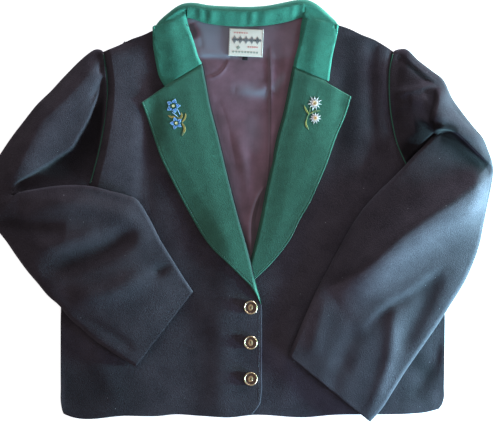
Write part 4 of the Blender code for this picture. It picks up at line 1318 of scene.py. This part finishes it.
# %% Gentian on the wearer's right lapel
GENTIANS = [((-112, 457), 11.2, 1), ((-107.5, 431.5), 9.6, 36)]  # centre, reach, turn in degrees
GENTIAN_LENGTHS = (1.0, 1.04, 0.97, 1.06, 0.95)
GENTIAN_STEMS = [((-106.5, 453.5), (-101.5, 443.5)), ((-114.5, 448.5), (-104.5, 440.5))]
BLUE, PALE_BLUE, CREAM, MUSTARD, OLIVE = range(5)
GENTIAN_LEAVES = [  # vein, half width, shades
    ([(-119.5, 443), (-114.5, 440.5), (-109, 441)], 1.3, (MUSTARD, MUSTARD)),
    ([(-99.5, 447.5), (-99.5, 442), (-101, 437)], 1.3, (MUSTARD, OLIVE)),
    ([(-107, 442), (-104, 439), (-100.5, 438)], 1.2, (OLIVE, MUSTARD)),
    ([(-93.5, 446.5), (-94.5, 439), (-99, 433)], 1.3, (MUSTARD, MUSTARD)),
    ([(-99, 432), (-95, 423.5), (-98.5, 413)], 1.6, (MUSTARD, OLIVE)),
]


def gentian_petal(bm, centre, reach, turn, length):
    """Two outer fans, the middle one over them, and the pale rims."""
    for side in (-1, 1):
        petal(bm, right_top, centre, turn + 0.3 * side, 0.4 * reach, length * 0.66, 0.9, 4, BLUE)
    petal(bm, right_top, centre, turn, 0.48 * reach, length, 1.15, 4, BLUE)
    for side in (-1, 1):
        aside = centre + 0.56 * reach * heading(turn + side * 0.62)
        tip = centre + reach * 0.98 * heading(turn)
        bead(bm, right_top, aside, tip, 0.7, 0.5, 0.2, PALE_BLUE)


def lay_gentian(bm):
    for centre, reach, first in GENTIANS:
        for i, length in enumerate(GENTIAN_LENGTHS):
            gentian_petal(bm, np.array(centre), reach, math.radians(first + 72 * i), reach * length)
        knot(bm, right_top, centre, 2.0, CREAM)
    for start, end in GENTIAN_STEMS:
        for shift in (-0.4, 0.4):
            bead(bm, right_top, np.array(start) + (shift, shift), end, 0.8, 0.7, 0.1, PALE_BLUE)
    for vein, half_width, shades in GENTIAN_LEAVES:
        leaf(bm, right_top, vein, half_width, shades)


gentian = thread_piece("gentian_embroidery", lay_gentian)
print("gentian:", len(gentian.data.polygons), "faces")

# %% [markdown]
# ## Edelweiss
# The edelweiss on the wearer's left lapel has two stars of eleven white petals of uneven length, a
# blush ring of short threads and an orange heart, with stems and leaves in moss and reed green.

# %% Edelweiss on the wearer's left lapel
EDELWEISSES = [((97, 461), 11.4), ((98, 439), 9.2)]  # centre, reach
EDELWEISS_LENGTHS = (1.0, 0.84, 0.97, 0.9, 1.06, 0.92, 0.86, 0.92, 1.0, 0.95, 0.9)
WHITE, BLUSH, ORANGE, MOSS, REED = range(5)
EDELWEISS_LEAVES = [  # vein, half width, shades
    ([(81.5, 457.5), (84.5, 450.5), (89, 444.5)], 1.2, (MOSS, MOSS)),
    ([(105.5, 450), (97.5, 449), (90.5, 446)], 1.0, (REED, MOSS)),
    ([(90.5, 455), (89.5, 449.5), (88.5, 444)], 0.4, (REED, REED)),
    ([(88.5, 445.5), (86, 440), (84.5, 434.5)], 0.5, (REED, MOSS)),
    ([(85, 437), (84, 431.5), (85, 427), (88, 422)], 1.2, (MOSS, REED)),
]


def lay_edelweiss(bm):
    for centre, reach in EDELWEISSES:
        for i, length in enumerate(EDELWEISS_LENGTHS):
            turn = math.radians(122 + 360 / 11 * i)
            petal(bm, left_top, np.array(centre), turn, 1.5, reach * length, 1.35, 5, WHITE)
        for i in range(16):
            away = reach * heading(math.radians(10 + 22.5 * i))
            bead(bm, left_top, centre + 0.22 * away, centre + 0.46 * away, 0.6, 0.6, 0.45, BLUSH)
        knot(bm, left_top, centre, reach * 0.28, ORANGE)
    for vein, half_width, shades in EDELWEISS_LEAVES:
        leaf(bm, left_top, vein, half_width, shades)


edelweiss = thread_piece("edelweiss_embroidery", lay_edelweiss)
print("edelweiss:", len(edelweiss.data.polygons), "faces")

# %% [markdown]
# ## Ornament of the label
# A label is woven with its ornament in coloured weft threads. Plain lozenges in rows, which any
# weaver uses, fill this one, between two dark edges. Each lozenge is a row of upright threads that
# grow longer towards its middle.

# %% Woven ornament of the label
label_top = top_of(neck_label)
GREY, RED, GREEN = range(3)
LOZENGE_STEP, LABEL_THREAD = 0.7, (0.62, 0.3, 0.0)
LOZENGE_ROWS = [  # first x, end and step, y, half width, half height, thread
    ((-17, 18, 8.5), 4.0, 3.4, 6.8, GREY),
    ((-12.75, 22.25, 8.5), 4.0, 1.1, 3.0, GREY),
    ((-17, 2, 3.6), 14.2, 1.1, 1.5, RED),
    ((4, 20, 3.2), -6.2, 1.1, 1.6, RED),
    ((-18, 20, 4.4), -14.0, 1.5, 1.9, GREEN),
    ((-11, -10, 2.0), -7.4, 2.6, 3.6, GREEN),
]


def on_label(x, y):
    """The spot on the table of a spot on the label, measured from the label's centre."""
    across = LABEL_CENTRE[0] + x * math.cos(TAPE_TILT) - y * math.sin(TAPE_TILT)
    return across, LABEL_CENTRE[1] + x * math.sin(TAPE_TILT) + y * math.cos(TAPE_TILT)


def lozenge(bm, x, y, half, tall, thread):
    for j in np.arange(-half, half + 0.1, LOZENGE_STEP):
        reach = tall * (1 - abs(j) / (half + 0.6))
        bead(bm, label_top, on_label(x + j, y - reach), on_label(x + j, y + reach), *LABEL_THREAD, thread)


def lay_ornament(bm):
    for span, y, half, tall, thread in LOZENGE_ROWS:
        for x in np.arange(*span):
            lozenge(bm, x, y, half, tall, thread)
    for x in (-24.3, 24.3):
        for y in np.arange(-19, 18.5, 1.6):
            bead(bm, label_top, on_label(x, y), on_label(x, y + 1.5), 0.7, 0.3, 0.0, GREY)


ornament = thread_piece("neck_label_ornament", lay_ornament)
bpy.data.meshes.remove(BEAD)
print("label ornament:", len(ornament.data.polygons), "faces")

# %% [markdown]
# ## Finishes
# Each finish starts from what the cloth or metal really is. Colours are sRGB hex values, as on a
# colour card, and one function turns them into the linear values that light is worked out in. Each
# pattern's scale comes from a size in millimetres and reads Object coordinates, so it stays on its
# piece. One function adds a node with its settings, values, links and colour stops.

# %% Colours and nodes
def colour(hex_text):
    """An sRGB hex colour as linear values with alpha."""
    parts = [int(hex_text[i:i + 2], 16) / 255 for i in (1, 3, 5)]
    return (*[c / 12.92 if c <= 0.04045 else ((c + 0.055) / 1.055) ** 2.4 for c in parts], 1.0)


def darker(tint, share):
    """A linear colour at this share of its light."""
    return tuple(c * share for c in tint[:3]) + (1.0,)


def add_node(material, kind, settings=(), inputs=(), links=(), stops=()):
    """A node with its settings, input values, links as (socket, node, output) and colour stops."""
    tree = material.node_tree
    node = tree.nodes.new(kind)
    for name, value in dict(settings).items():
        setattr(node, name, value)
    for name, value in dict(inputs).items():
        node.inputs[name].default_value = value
    for socket, source, output in links:
        tree.links.new(source.outputs[output], node.inputs[socket])
    for i, (position, tint) in enumerate(stops):
        node.color_ramp.elements[i].position = position
        node.color_ramp.elements[i].color = tint
    return node


def new_material(name, roughness, **constants):
    """A material with its constants on its shader's own sockets."""
    material = bpy.data.materials.new(name)
    material.use_nodes = True
    shader = material.node_tree.nodes["Principled BSDF"]
    shader.inputs["Roughness"].default_value = roughness
    for socket, value in constants.items():
        shader.inputs[socket.replace("_", " ")].default_value = value
    return material


def into(material, node, output, socket):
    """Links a node's output to the shader of a material."""
    tree = material.node_tree
    tree.links.new(node.outputs[output], tree.nodes["Principled BSDF"].inputs[socket])


print("darkest loden fibre in linear light:", [round(c, 3) for c in colour("#282429")[:3]])

# %% [markdown]
# ## Milled wool
# Loden is woven from wool, then fulled and brushed until a felted nap hides its weave. The eye gets
# a matt surface, clouds of lighter and darker fibre a few centimetres wide, a fine grain and here
# and there a speck of lint. The nap is drawn coarser than real fibre, so that it shows from afar.
# The green wool is made in the same way with a finer grain, and without lint. The painted light
# number of each spot scales the colour of both, and the green's painted shade is deeper than the
# loden's. The collar's piece is lighter and more teal: partly its own green, partly painted light.

# %% Wool
LODEN_SIZES, FINE_SIZES = (1.7, 42, 1.0), (1.4, 22, 0.6)  # grain of the nap, clouds, depth of felt in mm
LINT_SPACING, LINT_REACH = 19, 0.024  # in mm, and as a share of that spacing


def wool(name, dark, light, sizes, sheen, gloss, painted_hollow_share, lint=None):
    """Fulled wool, its colour scaled by painted light and shade. hollow is the share of its colour that
    painted shade leaves in the deepest hollow.
    """
    nap_mm, cloud_mm, felt_mm = sizes
    material = new_material(name, 0.95, Sheen_Weight=sheen, Sheen_Roughness=0.5, Specular_IOR_Level=gloss)
    place = add_node(material, "ShaderNodeTexCoord")
    at_place = [("Vector", place, "Object")]
    nap = add_node(
        material, "ShaderNodeTexNoise",
        inputs={"Scale": 1 / (nap_mm * MM), "Detail": 4.0, "Roughness": 0.7}, links=at_place,
    )
    clouds = add_node(
        material, "ShaderNodeTexNoise",
        inputs={"Scale": 1 / (cloud_mm * MM), "Detail": 3.0, "Roughness": 0.6}, links=at_place,
    )
    both = add_node(
        material, "ShaderNodeMix", {"data_type": "FLOAT"}, {"Factor": 0.55},
        [("A", clouds, "Fac"), ("B", nap, "Fac")],
    )
    tone = add_node(
        material, "ShaderNodeValToRGB", links=[("Fac", both, "Result")],
        stops=[(0.34, colour(dark)), (0.68, colour(light))],
    )
    # painted shade and light: the painted light number scales the colour
    painted_light = add_node(material, "ShaderNodeAttribute", {"attribute_name": "painted_light"})
    shade = add_node(
        material, "ShaderNodeMapRange",
        inputs={"From Min": -1.0, "From Max": 1.0, "To Min": painted_hollow_share, "To Max": 2 - painted_hollow_share},
        links=[("Value", painted_light, "Fac")],
    )
    last = add_node(
        material, "ShaderNodeVectorMath", {"operation": "SCALE"},
        links=[("Vector", tone, "Color"), ("Scale", shade, "Result")],
    )
    output = "Vector"
    if lint:
        cells = add_node(
            material, "ShaderNodeTexVoronoi",
            inputs={"Scale": 1 / (LINT_SPACING * MM), "Randomness": 1.0}, links=at_place,
        )
        speck = add_node(
            material, "ShaderNodeMath", {"operation": "LESS_THAN"}, {1: LINT_REACH}, [(0, cells, "Distance")]
        )
        last = add_node(
            material, "ShaderNodeMix", {"data_type": "RGBA"}, {"B": colour(lint)},
            [("Factor", speck, "Value"), ("A", last, "Vector")],
        )
        output = "Result"
    into(material, last, output, "Base Color")
    felt = add_node(
        material, "ShaderNodeBump",
        inputs={"Strength": 0.8, "Distance": felt_mm * MM}, links=[("Height", nap, "Fac")],
    )
    into(material, felt, "Normal", "Normal")
    return material


LODEN_WOOL = wool("milled_loden_wool", "#282429", "#403b41", LODEN_SIZES, 0.05, 0.08, 0.25, "#8d8c90")
GREEN_CLOTH = wool("bottle_green_wool", "#294f41", "#386957", FINE_SIZES, 0.12, 0.2, 0.12)
# The collar's green is painted lighter than the lapels' to stand in for light; its more teal hue is its own.
COLLAR_CLOTH_PAINTED_LIGHTER = wool("bottle_green_collar_wool_painted_lighter", "#285e4f", "#3c8470", FINE_SIZES, 0.12, 0.2, 0.12)
print("wools:", LODEN_WOOL.name, GREEN_CLOTH.name, COLLAR_CLOTH_PAINTED_LIGHTER.name)

# %% [markdown]
# ## Lining satin
# Satin lets its warp threads float over several weft threads, so it is smooth and shines more along
# them than across. This one is mauve brown. The painted light number that the lining was bent with
# mixes in a cool grey as a painted sheen, and darkens it as painted shade. A faint rib stands for
# the threads, drawn much coarser than they are.

# %% Lining satin
WAVES_A_METRE = 3.2  # bands of a wave texture whose scale is 1
MOIRE, SATIN_RIB = 30, 2.2  # in mm
SATIN_CLOTH = new_material(
    "lining_satin", 0.40, Specular_IOR_Level=0.5, Sheen_Weight=0.15, Anisotropic=0.4
)
place = add_node(SATIN_CLOTH, "ShaderNodeTexCoord")
moire = add_node(
    SATIN_CLOTH, "ShaderNodeTexNoise",
    inputs={"Scale": 1 / (MOIRE * MM), "Detail": 3.0, "Roughness": 0.6}, links=[("Vector", place, "Object")],
)
tone = add_node(
    SATIN_CLOTH, "ShaderNodeValToRGB", links=[("Fac", moire, "Fac")],
    stops=[(0.35, colour("#5e444f")), (0.68, colour("#745563"))],
)
painted_light = add_node(SATIN_CLOTH, "ShaderNodeAttribute", {"attribute_name": "painted_light"})
# painted sheen: a cool grey that the painted light number mixes in
turned = add_node(
    SATIN_CLOTH, "ShaderNodeMix", {"data_type": "RGBA"}, {"B": colour("#767b89")},
    [("Factor", painted_light, "Fac"), ("A", tone, "Color")],
)
# painted shade: darker where the painted light number is below 0
shade = add_node(
    SATIN_CLOTH, "ShaderNodeMapRange",
    inputs={"From Min": -1.0, "From Max": 0.0, "To Min": 0.3, "To Max": 1.0}, links=[("Value", painted_light, "Fac")],
)
satin = add_node(
    SATIN_CLOTH, "ShaderNodeVectorMath", {"operation": "SCALE"},
    links=[("Vector", turned, "Result"), ("Scale", shade, "Result")],
)
into(SATIN_CLOTH, satin, "Vector", "Base Color")
weave = add_node(
    SATIN_CLOTH, "ShaderNodeTexWave", {"bands_direction": "X"},
    {"Scale": 1 / (SATIN_RIB * MM) / WAVES_A_METRE, "Distortion": 1.2}, [("Vector", place, "Object")],
)
bump = add_node(
    SATIN_CLOTH, "ShaderNodeBump",
    inputs={"Strength": 0.15, "Distance": 0.1 * MM}, links=[("Height", weave, "Fac")],
)
into(SATIN_CLOTH, bump, "Normal", "Normal")
print("satin:", len(SATIN_CLOTH.node_tree.nodes), "nodes")

# %% [markdown]
# ## Woven tape
# Label tape is a tight weave of fine yarn, and its ribs are all that the eye sees of it: thin light
# and dark lines across the tape. They are drawn coarser than the yarn.

# %% Woven tapes
TAPE_RIB = 1.4  # in mm


def tape_cloth(name, hex_text):
    """Tape with raised ribs and darker lines between them."""
    material = new_material(name, 0.75, Specular_IOR_Level=0.3)
    place = add_node(material, "ShaderNodeTexCoord")
    weft = add_node(
        material, "ShaderNodeTexWave", {"bands_direction": "Y"},
        {"Scale": 1 / (TAPE_RIB * MM) / WAVES_A_METRE, "Distortion": 0.6}, [("Vector", place, "Object")],
    )
    tone = add_node(
        material, "ShaderNodeValToRGB", links=[("Fac", weft, "Fac")],
        stops=[(0.0, darker(colour(hex_text), 0.86)), (1.0, colour(hex_text))],
    )
    into(material, tone, "Color", "Base Color")
    bump = add_node(
        material, "ShaderNodeBump",
        inputs={"Strength": 0.3, "Distance": 0.15 * MM}, links=[("Height", weft, "Fac")],
    )
    into(material, bump, "Normal", "Normal")
    return material


TAPE_CLOTH = tape_cloth("woven_label_tape", "#e8e2d6")
BLACK_TAPE = tape_cloth("black_woven_tape", "#1c1c20")
print("tapes:", TAPE_CLOTH.name, BLACK_TAPE.name)

# %% [markdown]
# ## Antique brass
# Antique brass is darkened and then rubbed bright again where it stands proud. So rim and boss are
# a warm yellow, the sunk ring keeps a brown patina, and the slot is nearly black. Small spots of
# tarnish break up the shine of all three.

# %% Brass, patina and slot
TARNISH_SPOT = 2.2  # in mm


def brass(name, hex_text, tarnish, roughness):
    """Brass with spots of tarnish."""
    material = new_material(name, roughness, Metallic=1.0)
    place = add_node(material, "ShaderNodeTexCoord")
    spots = add_node(
        material, "ShaderNodeTexNoise",
        inputs={"Scale": 1 / (TARNISH_SPOT * MM), "Detail": 4.0, "Roughness": 0.7},
        links=[("Vector", place, "Object")],
    )
    tone = add_node(
        material, "ShaderNodeValToRGB", links=[("Fac", spots, "Fac")],
        stops=[(0.35, colour(tarnish)), (0.6, colour(hex_text))],
    )
    into(material, tone, "Color", "Base Color")
    bump = add_node(
        material, "ShaderNodeBump",
        inputs={"Strength": 0.3, "Distance": 0.1 * MM}, links=[("Height", spots, "Fac")],
    )
    into(material, bump, "Normal", "Normal")
    return material


BRASS = brass("antique_brass", "#e0c9a0", "#a58a66", 0.32)
PATINA = brass("brass_patina", "#7d6a60", "#54463f", 0.5)
SLOT_DARK = brass("tarnished_slot", "#3a2f22", "#241c14", 0.6)
print("brass finishes:", BRASS.name, PATINA.name, SLOT_DARK.name)

# %% [markdown]
# ## Threads
# Embroidery thread is loosely twisted, so lighter and darker strands lie side by side and it shines
# a little. A fine noise of half a millimetre gives each colour those strands.

# %% Threads
STRAND, STRAND_SHADE = 0.5, 0.72  # in mm, and the light that a dark strand keeps


def thread_colour(name, hex_text):
    """Glossy embroidery thread, with light and dark strands."""
    material = new_material(name, 0.5, Sheen_Weight=0.2, Specular_IOR_Level=0.4)
    place = add_node(material, "ShaderNodeTexCoord")
    strand = add_node(
        material, "ShaderNodeTexNoise",
        inputs={"Scale": 1 / (STRAND * MM), "Detail": 3.0, "Roughness": 0.6},
        links=[("Vector", place, "Object")],
    )
    light = colour(hex_text)
    tone = add_node(
        material, "ShaderNodeValToRGB", links=[("Fac", strand, "Fac")],
        stops=[(0.3, darker(light, STRAND_SHADE)), (0.6, light)],
    )
    into(material, tone, "Color", "Base Color")
    return material


LODEN_THREAD = thread_colour("loden_sewing_thread", "#4c4a55")
GREEN_THREAD = thread_colour("green_sewing_thread", "#3f7a66")
GENTIAN_THREADS = [
    thread_colour("gentian_blue_thread", "#70aaf2"), thread_colour("pale_blue_thread", "#a2d2ff"),
    thread_colour("cream_yellow_thread", "#fff0b4"), thread_colour("mustard_thread", "#a8974f"),
    thread_colour("olive_thread", "#76855c"),
]
EDELWEISS_THREADS = [
    thread_colour("white_thread", "#f2f0ef"), thread_colour("blush_thread", "#ecd0c4"),
    thread_colour("orange_thread", "#ffc070"), thread_colour("moss_thread", "#979a50"),
    thread_colour("reed_thread", "#6f8c5c"),
]
LABEL_THREADS = [
    thread_colour("grey_label_thread", "#45525a"), thread_colour("red_label_thread", "#c9736f"),
    thread_colour("green_label_thread", "#7f9184"),
]
print("materials:", len(bpy.data.materials))

# %% [markdown]
# ## Dress the jacket
# Each piece gets its finish, rides on the one body that the jacket is, and takes the place of its
# imported node, which is hidden. Threads stand for no node: in the list of cuts below they go with
# the cloth that they are sewn to.

def dress(piece, materials, node):
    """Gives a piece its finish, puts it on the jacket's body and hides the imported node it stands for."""
    for material in materials if isinstance(materials, list) else [materials]:
        piece.data.materials.append(material)
    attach(piece, "root")
    if node:
        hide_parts(node)


dress(back_panel, LODEN_WOOL, "back_panel")
dress(front_right, LODEN_WOOL, "front_right")
dress(front_left, LODEN_WOOL, "front_left")
dress(sleeve_right, LODEN_WOOL, "sleeve_right")
dress(sleeve_left, LODEN_WOOL, "sleeve_left")
dress(lining, SATIN_CLOTH, "back_lining")
dress(lapel_right, GREEN_CLOTH, "lapel_right")
dress(lapel_left, GREEN_CLOTH, "lapel_left")
dress(collar, COLLAR_CLOTH_PAINTED_LIGHTER, "collar")
dress(stand, COLLAR_CLOTH_PAINTED_LIGHTER, "collar_stand")
dress(piping_right, GREEN_CLOTH, "armhole_piping_right")
dress(piping_left, GREEN_CLOTH, "armhole_piping_left")
dress(neck_label, TAPE_CLOTH, "neck_label")
dress(size_tab, BLACK_TAPE, "size_tab")
for number, button in enumerate(buttons, start=1):
    dress(button, [BRASS, PATINA, SLOT_DARK], f"button_{number}")
dress(stitching[0], GREEN_THREAD, None)
dress(stitching[1], GREEN_THREAD, None)
dress(stitching[2], LODEN_THREAD, None)
dress(gentian, GENTIAN_THREADS, None)
dress(edelweiss, EDELWEISS_THREADS, None)
dress(ornament, LABEL_THREADS, None)
print("dressed, among the rest:", len(buttons), "buttons and", len(stitching), "seams of stitching")

# %% [markdown]
# ## The cut of each piece
# Each sheet of cloth is listed with the size that it was cut to, in metres. These are the sizes of
# what shows: a front without its inner facing, a lining only as far as the open neck shows it, and a
# sleeve opened out flat, all round.

CUTS = [  # piece, width, length, area, how it is held, what it rests on, what is sewn to it
    (back_panel, 0.568, 0.592, 0.290, "laid", ["floor"], []),
    (lining, 0.220, 0.428, 0.053, "laid", ["back_panel_cloth"], []),
    (front_left, 0.310, 0.590, 0.136, "laid", ["back_lining_satin", "back_panel_cloth"], [piping_left]),
    (
        front_right, 0.298, 0.590, 0.132, "laid", ["back_panel_cloth", "front_left_cloth"],
        [piping_right, stitching[2]],
    ),
    (lapel_right, 0.105, 0.382, 0.0247, "folded", ["front_right_cloth"], [stitching[0], gentian]),
    (lapel_left, 0.100, 0.360, 0.0230, "folded", ["front_left_cloth"], [stitching[1], edelweiss]),
    (collar, 0.090, 0.500, 0.0302, "folded", ["front_right_cloth", "front_left_cloth"], []),
    (stand, 0.030, 0.178, 0.0050, "folded", ["back_lining_satin"], []),
    (sleeve_right, 0.420, 0.600, 0.145, "gathered", ["floor", "front_right_cloth"], []),
    (sleeve_left, 0.440, 0.620, 0.165, "gathered", ["floor", "front_left_cloth"], []),
    (neck_label, 0.0505, 0.0405, 0.00204, "laid", ["back_lining_satin"], [ornament, size_tab]),
]
for piece, width, length, area, held, under, sewn_on in CUTS:
    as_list(under)
    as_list(sewn_on)
print("sheets:", len(CUTS))

# %% [markdown]
# ## Floor and room
# The floor is matt white paint that also glows a little by itself, so it stays white under cool
# lights and still takes soft shadows. It lies half a millimetre low, clear of the cloth. The room
# round it gives a dim, even light.

# %% Floor and room
FLOOR_HALF, FLOOR_DROP = 6.0, 0.0005
bm = bmesh.new()
bmesh.ops.create_grid(bm, x_segments=1, y_segments=1, size=FLOOR_HALF)
bmesh.ops.translate(bm, verts=bm.verts[:], vec=(0, 0, -FLOOR_DROP))
floor_mesh = bpy.data.meshes.new("floor")
bm.to_mesh(floor_mesh)
bm.free()
floor = link("floor", floor_mesh)
FLOOR_PAINT = new_material(
    "matt_white_floor", 0.9,
    Base_Color=(0.86, 0.86, 0.86, 1), Emission_Color=(1, 1, 1, 1), Emission_Strength=0.75,
)
floor.data.materials.append(FLOOR_PAINT)

world = bpy.data.worlds.new("soft_room")
world.use_nodes = True
world.node_tree.nodes["Background"].inputs["Color"].default_value = (1.0, 0.93, 0.95, 1)
world.node_tree.nodes["Background"].inputs["Strength"].default_value = 0.47
bpy.context.scene.world = world
print("floor:", 2 * FLOOR_HALF, "m wide")

# %% [markdown]
# ## Windows
# Dark wool needs light that grazes it, or its folds can't be seen. One strong window stands only
# four degrees above the table, and three weaker ones beside it lighten its shadows. All aim at one
# spot on the jacket.

# %% Windows
LIT_SPOT = Vector((0.1, 0.0, 0.0))
WINDOWS = [  # name, azimuth and height in degrees, distance, energy, tint, size
    ("low window", -18, 4, 0.95, 96, (0.40, 0.90, 1.0), 0.18),
    ("corner window", -45, 6, 0.95, 22, (0.42, 0.60, 1.0), 0.18),
    ("side window", 30, 5, 1.2, 14, (0.80, 0.90, 1.0), 0.18),
    ("far window", 60, 6, 1.8, 48, (0.78, 0.84, 1.0), 0.34),
]
for name, azimuth, height, distance, energy, tint, size in WINDOWS:
    light = bpy.data.lights.new(name, "AREA")
    light.size = size
    light.energy = energy
    light.color = tint
    lamp = bpy.data.objects.new(name, light)
    bpy.context.scene.collection.objects.link(lamp)
    turn, rise = math.radians(azimuth), math.radians(height)
    flat = distance * math.cos(rise)
    away = Vector((flat * math.cos(turn), flat * math.sin(turn), distance * math.sin(rise)))
    lamp.location = LIT_SPOT + away
    lamp.rotation_euler = away.to_track_quat("Z", "Y").to_euler()
print("windows:", len(WINDOWS))

# %% [markdown]
# ## Camera
# The jacket is seen from straight above and from high up, so that its sides hardly show. The focal
# length follows from that height, the width of the frame and the width of the sensor.

# %% Camera
CAMERA_HEIGHT, FRAME_WIDTH, SENSOR_WIDTH = 4.0, 0.74, 36  # in metres, and in mm for the sensor
camera = bpy.data.cameras.new("camera")
camera.sensor_width = SENSOR_WIDTH
camera.lens = SENSOR_WIDTH * CAMERA_HEIGHT / FRAME_WIDTH
camera_object = bpy.data.objects.new("camera", camera)
camera_object.location = (0.0158, -0.010, CAMERA_HEIGHT)
bpy.context.scene.collection.objects.link(camera_object)
bpy.context.scene.camera = camera_object
bpy.context.scene.view_settings.view_transform = "Standard"
print("focal length:", round(camera.lens), "mm")
